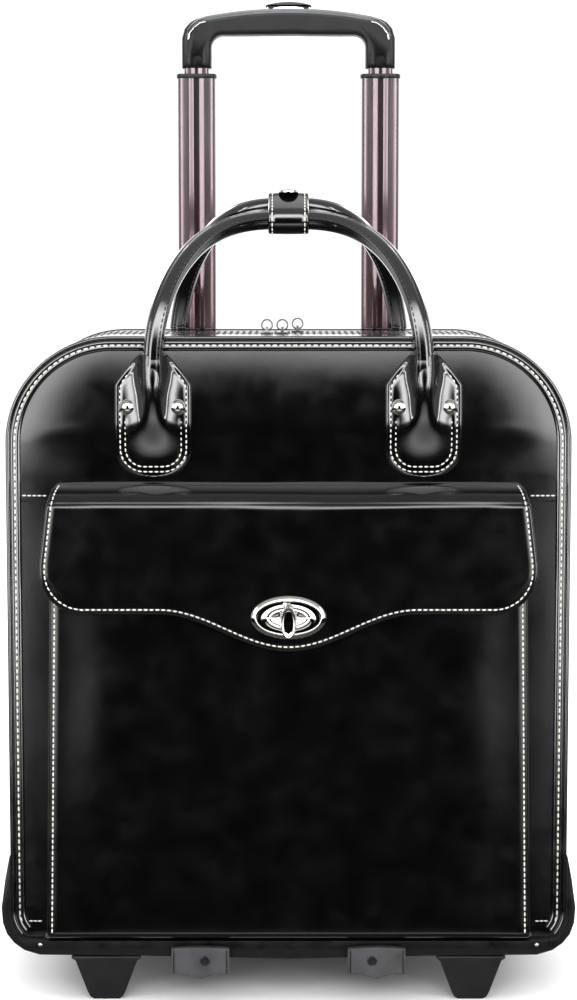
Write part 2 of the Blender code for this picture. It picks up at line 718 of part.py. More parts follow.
def grip():
    """The grip: a crossbar with two legs that take the inner tubes, hollow for the release."""
    leg = GRIP_LEG_INNER
    inner = [(0.0, GRIP_INNER_TOP + 0.3), (30.0, GRIP_INNER_TOP)]
    inner += arc((leg - 6.0, GRIP_INNER_TOP - 6.0), 6.0, 85, 0, 4) + [(leg, GRIP_BOTTOM)]
    outer = [(GRIP_HALF, GRIP_BOTTOM), (GRIP_HALF, 619.5), (69.8, 626.5), (65.5, 630.8)]
    outer += [(INSERT_HALF + GAP, 632.6)] + grip_crown(INSERT_HALF + GAP, INSERT_SKIN + GAP)
    right = inner + outer
    left = [(-a, b) for a, b in reversed(right) if a > 0.01]
    piece = finish_mesh("grip", prism(right + left, "Y", *GRIP_Y), "moulded_black")
    for _, side in sides():
        x = side * TROLLEY_X
        seat = rounded_rectangle(INNER_TUBE[0] + 0.6, INNER_TUBE[1] + 0.6, 4.5, 4, (x, TROLLEY_Y))
        cut(piece, prism(seat, "Z", GRIP_BOTTOM - 20.0, INNER_TUBE_Z[1] + GAP))
        passage = ellipse(3.0, 2.6, (x, TROLLEY_Y), 12)
        cut(piece, prism(passage, "Z", INNER_TUBE_Z[1] - 5.0, CHANNEL[0] + 1.0))
    cut(piece, box((-67.0, TROLLEY_Y - 2.6, CHANNEL[0]), (67.0, TROLLEY_Y + 2.6, CHANNEL[1])))
    cut(piece, button_well(CHANNEL[0] + 2.0))


def button_well(low):
    """The space above low that the button moves in."""
    half = BUTTON_HALF + GAP
    return box((-half, TROLLEY_Y - 6.8, low), (half, TROLLEY_Y + 6.8, 650.0))


def grip_insert():
    """The softer strip let into the grip's top, with the button's opening."""
    upper = grip_crown(INSERT_HALF)
    lower = grip_crown(INSERT_HALF, INSERT_SKIN)
    outline = upper + [(-a, b) for a, b in reversed(upper[:-1])]
    outline += [(-a, b) for a, b in lower[:-1]] + lower[::-1]
    piece = finish_mesh("grip_insert", prism(outline, "Y", *GRIP_Y), "moulded_grey")
    cut(piece, button_well(606.0))


def release():
    """The push button, the bar and rods that it moves, and the spring that returns them."""
    low = CHANNEL[1]
    top = [(BUTTON_HALF, BUTTON_TOP - 3.0), (BUTTON_HALF * 0.6, BUTTON_TOP - 1.0), (0.0, BUTTON_TOP)]
    outline = [(BUTTON_HALF, low)] + top
    button = prism(mirrored(outline), "Y", TROLLEY_Y - 6.5, TROLLEY_Y + 6.5)
    finish_mesh("push_button", button, "moulded_grey")
    bar_low = CHANNEL[1] - 2.0
    bar = box((-65.5, TROLLEY_Y - 2.2, bar_low), (65.5, TROLLEY_Y + 2.2, CHANNEL[1] - GAP))
    yoke = finish_mesh("release_yoke", bar, "steel")
    for _, side in sides():
        rod = ellipse(1.6, 1.6, (side * TROLLEY_X, TROLLEY_Y), 10)
        join(yoke, prism(rod, "Z", INNER_TUBE_Z[0] + 8.0, bar_low + 0.8))
    spring("release_spring", (-TROLLEY_X, TROLLEY_Y), 580.0, 604.0)


def spring(name, centre, low, high):
    """A coil spring round the left rod, above the rod's stop."""
    turns = 5
    steps = turns * 12
    radius = 2.7
    points = []
    for i in range(steps + 1):
        turn = 2.0 * math.pi * turns * i / steps
        x = centre[0] + radius * math.cos(turn)
        y = centre[1] + radius * math.sin(turn)
        points.append(Vector((x, y, low + (high - low) * i / steps)))
    finish_mesh(name, swept(points, 0.4, 5, [1.0] * len(points)), "steel")


# ---- wheels and feet ----------------------------------------------------------------
def wheel_housing(name, x):
    """An arch over a rear wheel, with a cheek on each side that holds the axle."""
    centre = (WHEEL_Y, WHEEL_R)
    outer = [(WHEEL_Y + HOUSING_R, 12.0)] + arc(centre, HOUSING_R, 0, 180, 14)
    outer += [(WHEEL_Y - HOUSING_R, 12.0)]
    clear = HOUSING_R - 3.0
    inner = [(WHEEL_Y + clear, 0.0)] + arc(centre, clear, 0, 180, 14) + [(WHEEL_Y - clear, 0.0)]
    arch = prism(outer, "X", x - HOUSING_HALF, x + HOUSING_HALF)
    housing = finish_mesh(name, arch, "moulded_black")
    cut(housing, prism(inner, "X", x - HOUSING_HALF + 3.0, x + HOUSING_HALF - 3.0))
    cut(housing, box((x - 40.0, 97.0, 0.0), (x + 40.0, 140.0, 80.0)))
    bore = ellipse(AXLE_R + GAP, AXLE_R + GAP, centre, 16)
    cut(housing, prism(bore, "X", x - 40.0, x + 40.0))


def wheels():
    """The housings, axles, hubs and tyres at the two rear corners."""
    for name, side in sides():
        x = side * WHEEL_X
        centre = (x, WHEEL_Y, WHEEL_R)
        wheel_housing(f"wheel_housing_{name}", x)
        axle = turned_rod(AXLE_R, x, HOUSING_HALF - 0.4)
        finish_mesh(f"axle_{name}", axle, "steel")
        half = WHEEL_WIDTH / 2.0
        hub = [(3.4, -half), (6.5, -half), (7.5, -half + 2.5), (14.8, -half + 1.5)]
        hub += [(14.8, half - 1.5), (7.5, half - 2.5), (6.5, half), (3.4, half)]
        shape = turned(hub, centre, "X", 24)
        finish_mesh(f"wheel_hub_{name}", shape, "moulded_grey", pivot=centre)
        tread = [(15.1, -half + 0.8), (21.5, -half), (23.4, -half + 1.6), (WHEEL_R, -half + 4.5)]
        tread += [(WHEEL_R, half - 4.5), (23.4, half - 1.6), (21.5, half), (15.1, half - 0.8)]
        shape = turned(tread, centre, "X", 32)
        finish_mesh(f"tyre_{name}", shape, "tyre", pivot=centre)


def turned_rod(radius, x, half):
    """A plain rod along X through the wheels' axis."""
    outline = ellipse(radius, radius, (WHEEL_Y, WHEEL_R), 16)
    return prism(outline, "X", x - half, x + half)


def front_feet():
    """The two moulded feet under the front edge: a flange and a block that narrows down."""
    for name, side in sides():
        x = side * FOOT_X
        right = [(8.0, 0.0), (10.4, 1.6), (12.0, 4.5), (19.8, 25.2), (22.3, 26.4), (22.3, FOOT_TOP)]
        outline = [(x + a, b) for a, b in mirrored(right)]
        foot = prism(outline, "Y", TRAY_FRONT, TRAY_FRONT + 22.0)
        finish_mesh(f"front_foot_{name}", foot, "moulded_black")


def clear_scene():
    """Remove every object that the file holds."""
    for old in list(bpy.data.objects):
        bpy.data.objects.remove(old, do_unlink=True)


clear_scene()
body_panels()
edge_binding("front_binding", FRONT_Y - GAP - BINDING_RAISE, FRONT_Y - GAP)
edge_binding("rear_binding", BACK_Y + GAP, BACK_Y + GAP + BINDING_RAISE)
gussets()
zip_flaps()
centre_divider()
base_tray()
bottom_board()
front_pocket()
flap()
turn_lock()
carry_handle("front_carry_handle", FRONT_HANDLE)
carry_handle("rear_carry_handle", REAR_HANDLE)
handle_tabs()
keeper()
zips()
trolley_tubes()
trolley_top_bracket()
trolley_cradle()
toe_lips()
trolley_sleeve()
grip()
grip_insert()
release()
wheels()
front_feet()
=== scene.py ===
"""Looks of the rolling laptop case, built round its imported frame.

All shape functions take millimetres in the frame's axes and scale them once, in
finish_mesh(). The case faces -Y and stands on the XY plane.
"""

import json
import math

import bmesh
import bpy
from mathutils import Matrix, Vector, noise


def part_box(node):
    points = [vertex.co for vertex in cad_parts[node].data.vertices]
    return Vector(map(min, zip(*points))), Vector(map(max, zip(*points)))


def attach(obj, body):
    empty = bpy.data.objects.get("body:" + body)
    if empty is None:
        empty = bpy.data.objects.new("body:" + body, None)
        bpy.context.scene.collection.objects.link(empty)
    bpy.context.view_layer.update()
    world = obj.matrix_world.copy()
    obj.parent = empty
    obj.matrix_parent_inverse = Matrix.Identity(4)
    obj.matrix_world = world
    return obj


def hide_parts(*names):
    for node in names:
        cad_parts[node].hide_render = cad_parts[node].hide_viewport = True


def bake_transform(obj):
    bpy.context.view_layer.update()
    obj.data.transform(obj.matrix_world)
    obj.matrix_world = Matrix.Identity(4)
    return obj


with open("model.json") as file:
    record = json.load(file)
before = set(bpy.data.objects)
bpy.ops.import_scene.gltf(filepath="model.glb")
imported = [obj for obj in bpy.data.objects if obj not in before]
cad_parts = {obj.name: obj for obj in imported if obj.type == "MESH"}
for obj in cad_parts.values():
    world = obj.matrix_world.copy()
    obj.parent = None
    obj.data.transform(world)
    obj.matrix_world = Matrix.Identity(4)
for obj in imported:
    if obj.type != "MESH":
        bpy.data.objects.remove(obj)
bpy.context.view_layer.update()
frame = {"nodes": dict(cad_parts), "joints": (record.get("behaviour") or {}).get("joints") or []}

MM = 0.001


def corners(node):
    """A CAD node's lowest and highest corners, in millimetres."""
    low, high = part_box(node)
    return low / MM, high / MM


def anchor(joint):
    """A joint's anchor, in millimetres."""
    found = next(j for j in frame["joints"] if j["name"] == joint)
    return Vector(found["pos_m"]) / MM


# ---- sizes read from the frame, in millimetres ---------------------------------------
PANEL_LOW, PANEL_HIGH = corners("front_panel")
HALF = PANEL_HIGH.x
TOP = PANEL_HIGH.z
BOTTOM = PANEL_LOW.z
FRONT = PANEL_LOW.y
BACK = corners("back_panel")[1].y
TRAY_LOW = corners("base_tray")[0]
POCKET_LOW, POCKET_HIGH = corners("front_pocket")
FLAP_LOW, FLAP_HIGH = corners("flap")
PLATE_LOW, PLATE_HIGH = corners("lock_plate")
KNOB_LOW, KNOB_HIGH = corners("turn_knob")
SLEEVE_LOW, SLEEVE_HIGH = corners("trolley_sleeve")
GRIP_LOW, GRIP_HIGH = corners("grip")
INSERT_HIGH = corners("grip_insert")[1]
BUTTON_LOW, BUTTON_HIGH = corners("push_button")

# ---- design sizes, in millimetres ----------------------------------------------------
TOP_RADIUS = 66.5               # outline corners of the body
FOOT_RADIUS = 24.0
BINDING = 8.5                   # width of the edge binding
BINDING_FOOT = 40.0             # height where the binding goes under the tray
STITCH_INSET = 4.9              # the binding's stitch line, from the edge
PUFF = 5.0                      # padding under the front leather near its top
PUFF_LOW = 1.6                  # and beside the pocket
PUFF_WIDTH = 46.0               # how far in from the binding it reaches its full height
PUFF_START = 338.0              # heights between which the padding grows
PUFF_END = 374.0
YOKE_SEAM = 319.5               # height of the seam across the front
LOW_SEAM = 48.5                 # height of the short seams beside the pocket's foot
LOW_SEAM_END = 158.0            # their inner ends, from the middle
HANDLE_R = 6.2                  # radius of the rolled carry handles
STITCH_PITCH = 4.25


FORWARD = Vector((0.0, -1.0, 0.0))


def sides():
    """The two sides of the case: name and sign of X."""
    return (("left", -1.0), ("right", 1.0))


# ---- material nodes ------------------------------------------------------------------
def new_material(name):
    """A cleared material with its shader, ready for nodes."""
    made = bpy.data.materials.new(name)
    made.use_nodes = True
    return made, made.node_tree, made.node_tree.nodes["Principled BSDF"]


def add(tree, kind, **values):
    """Add a node and set its inputs or properties by name."""
    node = tree.nodes.new(kind)
    for key, value in values.items():
        name = key.replace("_", " ")
        if name in node.inputs:
            node.inputs[name].default_value = value
        else:
            setattr(node, key, value)
    return node


def object_coordinates(tree, scale=(1.0, 1.0, 1.0)):
    """Object coordinates, which move with the piece, scaled per axis."""
    source = tree.nodes.new("ShaderNodeTexCoord")
    mapping = tree.nodes.new("ShaderNodeMapping")
    mapping.inputs["Scale"].default_value = scale
    tree.links.new(source.outputs["Object"], mapping.inputs["Vector"])
    return mapping.outputs["Vector"]


def noise_field(tree, vector, scale, detail=4.0, roughness=0.5):
    """A noise texture's value."""
    field = add(tree, "ShaderNodeTexNoise", Scale=scale, Detail=detail, Roughness=roughness)
    tree.links.new(vector, field.inputs["Vector"])
    return field.outputs["Fac"]


def ramp(tree, value, stops):
    """A colour ramp over a value; stops are (position, colour or grey)."""
    node = tree.nodes.new("ShaderNodeValToRGB")
    elements = node.color_ramp.elements
    while len(elements) < len(stops):
        elements.new(0.5)
    for element, (position, color) in zip(elements, stops):
        element.position = position
        if isinstance(color, float):
            color = (color, color, color)
        element.color = (*color, 1.0)
    tree.links.new(value, node.inputs["Fac"])
    return node.outputs["Color"]


def to_range(tree, value, low, high, start=0.3, end=0.7):
    """Map start..end, a noise texture's usual range unless given, to low..high."""
    node = add(tree, "ShaderNodeMapRange")
    node.inputs["From Min"].default_value = start
    node.inputs["From Max"].default_value = end
    node.inputs["To Min"].default_value = low
    node.inputs["To Max"].default_value = high
    tree.links.new(value, node.inputs["Value"])
    return node.outputs["Result"]


def combine(tree, operation, a, b):
    """One sum or product of two values."""
    node = add(tree, "ShaderNodeMath", operation=operation)
    tree.links.new(a, node.inputs[0])
    tree.links.new(b, node.inputs[1])
    return node.outputs["Value"]


def bump(tree, height, strength, distance, previous=None):
    """A bump from a height, chained on a previous one."""
    node = tree.nodes.new("ShaderNodeBump")
    node.inputs["Strength"].default_value = strength
    node.inputs["Distance"].default_value = distance
    tree.links.new(height, node.inputs["Height"])
    if previous:
        tree.links.new(previous, node.inputs["Normal"])
    return node.outputs["Normal"]


def cells(tree, vector, scale):
    """A Voronoi texture's distance to its cells' edges."""
    field = add(tree, "ShaderNodeTexVoronoi", Scale=scale)
    field.feature = "DISTANCE_TO_EDGE"
    tree.links.new(vector, field.inputs["Vector"])
    return field.outputs["Distance"]


def feed(tree, shader, **inputs):
    """Link sockets to a shader's inputs, or set the inputs' values."""
    for key, value in inputs.items():
        target = shader.inputs[key.replace("_", " ")]
        if isinstance(value, bpy.types.NodeSocket):
            tree.links.new(value, target)
        else:
            target.default_value = value


def shades(tree, value, color, *stops):
    """A ramp through shades of one colour; stops are (position, brightness)."""
    return ramp(tree, value, [
        (position, tuple(bright * part for part in color)) for position, bright in stops
    ])


def leather(name, gloss=0.15, grain=0.10, coat=0.35, shine=0.5):
    """Black glazed leather: fine creases and pores under a glossy finish."""
    made, tree, shader = new_material(name)
    where = object_coordinates(tree)
    dye = noise_field(tree, where, 35.0, 3.0)
    tone = shades(tree, dye, (0.0011, 0.0011, 0.0012), (0.30, 0.7), (0.72, 1.5))
    rough = to_range(tree, noise_field(tree, where, 60.0, 5.0), gloss - 0.03, gloss + 0.07)
    normal = bump(tree, cells(tree, where, 620.0), grain, 0.00025)
    normal = bump(tree, noise_field(tree, where, 1500.0, 2.0), grain * 0.8, 0.0002, normal)
    normal = bump(tree, noise_field(tree, where, 42.0, 2.0), 0.10, 0.0012, normal)
    feed(tree, shader, Base_Color=tone, Roughness=rough, Normal=normal)
    feed(tree, shader, Specular_IOR_Level=shine, Coat_Weight=coat, Coat_Roughness=0.08)
    return made


def thread(name, color=(0.78, 0.76, 0.72)):
    """Waxed sewing thread with its twist."""
    made, tree, shader = new_material(name)
    where = object_coordinates(tree)
    tone = shades(tree, noise_field(tree, where, 700.0, 3.0), color, (0.25, 0.72), (0.70, 1.0))
    twist = add(tree, "ShaderNodeTexWave", Scale=900.0, Distortion=1.5)
    twist.bands_direction = "DIAGONAL"
    tree.links.new(where, twist.inputs["Vector"])
    normal = bump(tree, twist.outputs["Fac"], 0.5, 0.0002)
    feed(tree, shader, Base_Color=tone, Normal=normal, Roughness=0.62, Sheen_Weight=0.15)
    return made


def plastic(name, color, rough, grain_scale, grain, spread=0.25):
    """Moulded plastic with a fine spark-eroded grain and faint flow marks."""
    made, tree, shader = new_material(name)
    where = object_coordinates(tree)
    flow = noise_field(tree, where, 55.0, 5.0, 0.6)
    tone = shades(tree, flow, color, (0.28, 1.0 - spread), (0.72, 1.0 + spread))
    shine = to_range(tree, noise_field(tree, where, 90.0, 4.0), rough - 0.06, rough + 0.08)
    normal = bump(tree, noise_field(tree, where, grain_scale, 3.0), grain, 0.0002)
    normal = bump(tree, noise_field(tree, where, 120.0, 2.0), grain * 0.4, 0.0004, normal)
    feed(tree, shader, Base_Color=tone, Roughness=shine, Normal=normal, Specular_IOR_Level=0.3)
    return made


def metal(name, color, rough, scratch=0.06, stretch=(1.0, 1.0, 1.0), scale=300.0):
    """Metal with a faint drawn or polished texture along its stretch."""
    made, tree, shader = new_material(name)
    where = object_coordinates(tree, stretch)
    tone = shades(tree, noise_field(tree, where, 40.0, 4.0), color, (0.30, 0.86), (0.70, 1.0))
    lines = noise_field(tree, where, scale, 3.0)
    shine = to_range(tree, lines, rough - 0.03, rough + 0.05)
    normal = bump(tree, lines, scratch, 0.0001)
    feed(tree, shader, Metallic=1.0, Base_Color=tone, Roughness=shine, Normal=normal)
    return made


def anodised(name, upper, lower):
    """Drawn, dyed aluminium whose dye deepens from DYE_HIGH down to DYE_LOW."""
    made, tree, shader = new_material(name)
    where = object_coordinates(tree)
    height = tree.nodes.new("ShaderNodeSeparateXYZ")
    tree.links.new(where, height.inputs["Vector"])
    level = to_range(tree, height.outputs["Z"], 0.0, 1.0, DYE_LOW * MM, DYE_HIGH * MM)
    shade = ramp(tree, level, [(0.0, lower), (1.0, upper)])
    cloud = ramp(tree, noise_field(tree, where, 60.0, 3.0), [(0.3, 0.88), (0.7, 1.0)])
    mix = tree.nodes.new("ShaderNodeMix")
    mix.data_type = "RGBA"
    mix.blend_type = "MULTIPLY"
    mix.inputs["Factor"].default_value = 1.0
    tree.links.new(shade, mix.inputs[6])
    tree.links.new(cloud, mix.inputs[7])
    lines = noise_field(tree, object_coordinates(tree, (1.0, 1.0, 0.02)), 1400.0, 2.0)
    shine = to_range(tree, lines, 0.16, 0.24)
    normal = bump(tree, lines, 0.05, 0.0001)
    feed(tree, shader, Metallic=0.65, Base_Color=mix.outputs[2], Roughness=shine, Normal=normal)
    feed(tree, shader, Coat_Weight=0.3, Coat_Roughness=0.05)
    return made


def woven(name, color, scale=900.0):
    """Plain-woven nylon: crossed sets of threads."""
    made, tree, shader = new_material(name)
    where = object_coordinates(tree)
    total = None
    for direction in ("X", "Y", "Z"):
        wave = add(tree, "ShaderNodeTexWave", Scale=scale, Distortion=0.3)
        wave.bands_direction = direction
        tree.links.new(where, wave.inputs["Vector"])
        height = wave.outputs["Fac"]
        total = height if total is None else combine(tree, "MULTIPLY", total, height)
    tone = shades(tree, total, color, (0.0, 0.55), (0.6, 1.0))
    normal = bump(tree, total, 0.5, 0.0003)
    feed(tree, shader, Base_Color=tone, Normal=normal, Roughness=0.85, Sheen_Weight=0.2)
    return made


def rubber(name):
    """Tyre rubber: matt, with dust in its pores."""
    made, tree, shader = new_material(name)
    dust = noise_field(tree, object_coordinates(tree), 160.0, 6.0, 0.65)
    tone = shades(tree, dust, (0.022, 0.022, 0.023), (0.35, 1.0), (0.80, 2.6))
    shine = to_range(tree, dust, 0.62, 0.85)
    feed(tree, shader, Base_Color=tone, Roughness=shine, Normal=bump(tree, dust, 0.25, 0.0003))
    return made


DYE_LOW, DYE_HIGH = 415.0, 560.0  # heights between which the tubes' colour deepens
LEATHER = leather("body_leather")
POCKET_LEATHER = leather("pocket_leather", gloss=0.15, grain=0.07)
TRIM_LEATHER = leather("trim_leather", gloss=0.12, grain=0.05, coat=1.0, shine=0.9)
THREAD = thread("stitch_thread")
DARK_THREAD = thread("dark_thread", (0.012, 0.012, 0.013))
LINING = woven("lining_fabric", (0.045, 0.045, 0.050))
TAPE = woven("zip_tape_fabric", (0.014, 0.014, 0.015), 1300.0)
BLACK_PLASTIC = plastic("black_moulding", (0.0020, 0.0020, 0.0021), 0.30, 1500.0, 0.18)
FOOT_PLASTIC = plastic("foot_moulding", (0.0045, 0.0045, 0.0048), 0.42, 1200.0, 0.22, 0.4)
GREY_PLASTIC = plastic("grey_moulding", (0.040, 0.040, 0.042), 0.60, 700.0, 0.5, 0.35)
GRIP_PLASTIC = plastic("grip_moulding", (0.0075, 0.0078, 0.0084), 0.42, 1600.0, 0.2, 0.18)
INSERT_PLASTIC = plastic("grip_insert_moulding", (0.135, 0.137, 0.142), 0.55, 1300.0, 0.35)
CHROME = metal("polished_nickel", (0.84, 0.82, 0.80), 0.08, 0.03)
STEEL = metal("brushed_steel", (0.50, 0.50, 0.51), 0.28, 0.1, (1.0, 1.0, 0.05), 900.0)
DARK_STEEL = metal("blackened_steel", (0.05, 0.05, 0.055), 0.35, 0.1, (1.0, 1.0, 0.05), 900.0)
RING_METAL = metal("dulled_nickel", (0.20, 0.20, 0.20), 0.22, 0.05)
PLUM = anodised("plum_anodised", (0.150, 0.118, 0.130), (0.120, 0.072, 0.083))
# painted shade: a darker copy of the plum anodising, laid on the tubes' groove bottoms
PLUM_GROOVE_SHADE = anodised("plum_painted_groove_shade", (0.050, 0.036, 0.041), (0.045, 0.016, 0.022))
RUBBER = rubber("tyre_rubber")
BOARD = plastic("grey_board", (0.060, 0.055, 0.050), 0.80, 400.0, 0.4)


# ---- mesh helpers --------------------------------------------------------------------
def finish_mesh(name, bm, material, body, smooth=40.0, inside=None, closed=True):
    """Scale a millimetre bmesh, link it and let it ride on a body.

    A closed shape's faces are turned outwards; a sheet's are turned by its caller.
    """
    if closed:
        bmesh.ops.recalc_face_normals(bm, faces=bm.faces[:])
    bmesh.ops.scale(bm, verts=bm.verts[:], vec=(MM, MM, MM))
    mesh = bpy.data.meshes.new(name)
    bm.to_mesh(mesh)
    bm.free()
    mesh.shade_smooth()
    mesh.set_sharp_from_angle(angle=math.radians(smooth))
    mesh.materials.append(material)
    if inside:
        mesh.materials.append(inside)
    made = bpy.data.objects.new(name, mesh)
    bpy.context.scene.collection.objects.link(made)
    if body:
        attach(made, body)
    return made


def bake_modifiers(piece):
    """Replace a piece's mesh by what its modifiers make of it."""
    bpy.context.view_layer.update()
    evaluated = piece.evaluated_get(bpy.context.evaluated_depsgraph_get())
    mesh = bpy.data.meshes.new_from_object(evaluated)
    mesh.name = piece.name
    piece.modifiers.clear()
    piece.data = mesh


def thicken(piece, thickness, inside=False):
    """Give a sheet its thickness, inwards; the second material can line its inside."""
    change = piece.modifiers.new("thickness", "SOLIDIFY")
    change.thickness = thickness * MM
    change.offset = -1.0
    change.use_quality_normals = True
    if inside:
        change.material_offset = 1
    bake_modifiers(piece)


def turn_faces(piece, axis, outward):
    """Turn a sheet's faces so that most look along an axis (0, 1 or 2) times outward."""
    total = sum(face.normal[axis] * face.area for face in piece.data.polygons)
    if total * outward < 0.0:
        piece.data.flip_normals()


def skin(bm, rows, closed=False):
    """Quads over rows of points with equal counts; closed joins each row's ends."""
    lines = [[bm.verts.new(point) for point in row] for row in rows]
    count = len(lines[0])
    last = count if closed else count - 1
    for low, high in zip(lines, lines[1:]):
        for i in range(last):
            j = (i + 1) % count
            bm.faces.new((low[i], low[j], high[j], high[i]))
    return lines


def skin_loop(bm, rings):
    """Skin closed rings that follow each other round a loop."""
    skin(bm, rings + rings[:1], closed=True)
    bmesh.ops.remove_doubles(bm, verts=bm.verts[:], dist=0.001)


def tube(bm, rings, caps=True):
    """Skin closed rings and cap both ends."""
    lines = skin(bm, rings, closed=True)
    if caps:
        bm.faces.new(lines[0][::-1])
        bm.faces.new(lines[-1])


def portion(value, low, high):
    """Rise evenly from 0 to 1 between low and high."""
    return min(max((value - low) / (high - low), 0.0), 1.0)


def smoothstep(value, low, high):
    """Ease from 0 to 1 between low and high."""
    part = portion(value, low, high)
    return part * part * (3.0 - 2.0 * part)


def wander(x, y, z, size, amount, seed=0.0):
    """Gentle unevenness: smooth noise with bumps about size apart."""
    return amount * noise.noise(Vector((x / size + seed, y / size - seed, z / size + 2.0 * seed)))


def arc(centre, radius, start, end, steps):
    """Points on an arc, in degrees, both ends included."""
    points = []
    for i in range(steps + 1):
        turn = math.radians(start + (end - start) * i / steps)
        points.append((centre[0] + radius * math.cos(turn), centre[1] + radius * math.sin(turn)))
    return points


def spread(low, high, count):
    """Evenly spaced values, both ends included."""
    return [low + (high - low) * i / count for i in range(count + 1)]


def circle(count):
    """Evenly spaced angles round a full turn."""
    return [2.0 * math.pi * i / count for i in range(count)]


def about(axis, radius, turn, depth):
    """A step of a radius at an angle about an axis, and of a depth along it."""
    a, b = radius * math.cos(turn), radius * math.sin(turn)
    return Vector({"X": (depth, a, b), "Y": (a, depth, b), "Z": (a, b, depth)}[axis])


def turned(bm, profile, centre, axis, segments):
    """Turn an open profile of (radius, depth) points about an axis and close its ends."""
    centre = Vector(centre)
    tube(bm, [
        [centre + about(axis, radius, turn, depth) for turn in circle(segments)]
        for radius, depth in profile
    ])


def turned_ring(bm, profile, centre, axis, segments):
    """Turn a closed outline of (radius, depth) points about an axis."""
    skin_loop(bm, [
        [centre + about(axis, radius, turn, depth) for radius, depth in profile]
        for turn in circle(segments)
    ])


def round_section(segments, radius):
    """A round section for sweep()."""
    return [(turn, radius) for turn in circle(segments)]


def frames_along(points, first):
    """Tangent, normal and side at each point, without twist, starting from a normal."""
    found = []
    normal = Vector(first)
    for i in range(len(points)):
        before = points[max(i - 1, 0)]
        after = points[min(i + 1, len(points) - 1)]
        tangent = (after - before).normalized()
        normal = (normal - tangent * normal.dot(tangent)).normalized()
        found.append((tangent, normal, tangent.cross(normal)))
    return found


def sweep(bm, points, first, section, sizes=None, caps=True):
    """Carry a closed section of (angle, radius) along points."""
    rings = []
    for i, (point, (_, normal, side)) in enumerate(zip(points, frames_along(points, first))):
        size = sizes[i] if sizes else 1.0
        ring = []
        for turn, radius in section:
            offset = normal * math.cos(turn) + side * math.sin(turn)
            ring.append(point + offset * radius * size)
        rings.append(ring)
    tube(bm, rings, caps)


# ---- stitches ------------------------------------------------------------------------
def resampled(path, pitch):
    """Points a pitch apart along a run of (position, normal): position, normal, tangent."""
    lengths = [0.0]
    for (a, _), (b, _) in zip(path, path[1:]):
        lengths.append(lengths[-1] + (b - a).length)
    count = max(int(round(lengths[-1] / pitch)), 1)
    step = lengths[-1] / count
    found = []
    j = 0
    for i in range(count):
        at = (i + 0.5) * step
        while lengths[j + 1] < at:
            j += 1
        part = (at - lengths[j]) / max(lengths[j + 1] - lengths[j], 1e-6)
        a, b = path[j], path[j + 1]
        point = a[0].lerp(b[0], part)
        normal = a[1].lerp(b[1], part).normalized()
        found.append((point, normal, (b[0] - a[0]).normalized()))
    return found


def stitch(bm, point, normal, tangent, length, width):
    """One stitch: a short thread that dips into the leather at both ends."""
    side = tangent.cross(normal).normalized()
    rings = []
    for part in (-1.0, -0.8, -0.35, 0.35, 0.8, 1.0):
        size = math.sqrt(max(1.0 - (0.96 * part) ** 2, 0.0))
        lift = 0.30 * width * (1.0 - part * part) - 0.12
        centre = point + tangent * (part * length / 2.0) + normal * lift
        ring = []
        for turn in circle(6):
            offset = side * math.cos(turn) + normal * math.sin(turn) * 0.85
            ring.append(centre + offset * (width / 2.0) * size)
        rings.append(ring)
    tube(bm, rings)


def stitches(name, paths, body, pitch=STITCH_PITCH, length=3.1, width=1.1, material=THREAD):
    """Every stitch of one seam, or of several that lie on one body."""
    bm = bmesh.new()
    for path in paths:
        for point, normal, tangent in resampled(path, pitch):
            stitch(bm, point, normal, tangent, length, width)
    finish_mesh(name, bm, material, body, smooth=60.0)


# ---- the body's outline --------------------------------------------------------------
CORNER_X = HALF - TOP_RADIUS
CORNER_Z = TOP - TOP_RADIUS
FOOT_X = HALF - FOOT_RADIUS
FOOT_Z = BOTTOM + FOOT_RADIUS


def half_width(z):
    """Half the body's width at a height."""
    if z > CORNER_Z:
        rise = min(z - CORNER_Z, TOP_RADIUS)
        return CORNER_X + math.sqrt(TOP_RADIUS ** 2 - rise ** 2)
    if z < FOOT_Z:
        drop = min(FOOT_Z - z, FOOT_RADIUS)
        return FOOT_X + math.sqrt(FOOT_RADIUS ** 2 - drop ** 2)
    return HALF


def inside_by(x, z):
    """Distance from the body's outline, inwards."""
    x = abs(x)
    if x > CORNER_X and z > CORNER_Z:
        return TOP_RADIUS - math.hypot(x - CORNER_X, z - CORNER_Z)
    if x > FOOT_X and z < FOOT_Z:
        return FOOT_RADIUS - math.hypot(x - FOOT_X, z - FOOT_Z)
    return min(HALF - x, TOP - z, z - BOTTOM)


def edge_run(low_z, inset=0.0, top_steps=24):
    """The right half of the outline from low_z up to the middle: (x, z, normal x, normal z)."""
    points = []
    foot_turn = -math.degrees(math.asin(min(max((FOOT_Z - low_z) / FOOT_RADIUS, 0.0), 1.0)))
    if foot_turn < 0.0:
        for turn in spread(foot_turn, 0.0, 6)[:-1]:
            part = math.radians(turn)
            n = (math.cos(part), math.sin(part))
            r = FOOT_RADIUS - inset
            points.append((FOOT_X + r * n[0], FOOT_Z + r * n[1], *n))
    low = max(low_z, FOOT_Z)
    for z in spread(low, CORNER_Z, max(int((CORNER_Z - low) / 12.0), 1))[:-1]:
        points.append((HALF - inset, z, 1.0, 0.0))
    for turn in spread(0.0, 90.0, top_steps):
        part = math.radians(turn)
        n = (math.cos(part), math.sin(part))
        r = TOP_RADIUS - inset
        points.append((CORNER_X + r * n[0], CORNER_Z + r * n[1], *n))
    for x in spread(CORNER_X, 0.0, 8)[1:]:
        points.append((x, TOP - inset, 0.0, 1.0))
    return points


def whole_run(low_z, inset=0.0):
    """The outline from the right foot over the top to the left foot."""
    right = edge_run(low_z, inset)
    left = [(-x, z, -nx, nz) for x, z, nx, nz in reversed(right[:-1])]
    return right + left


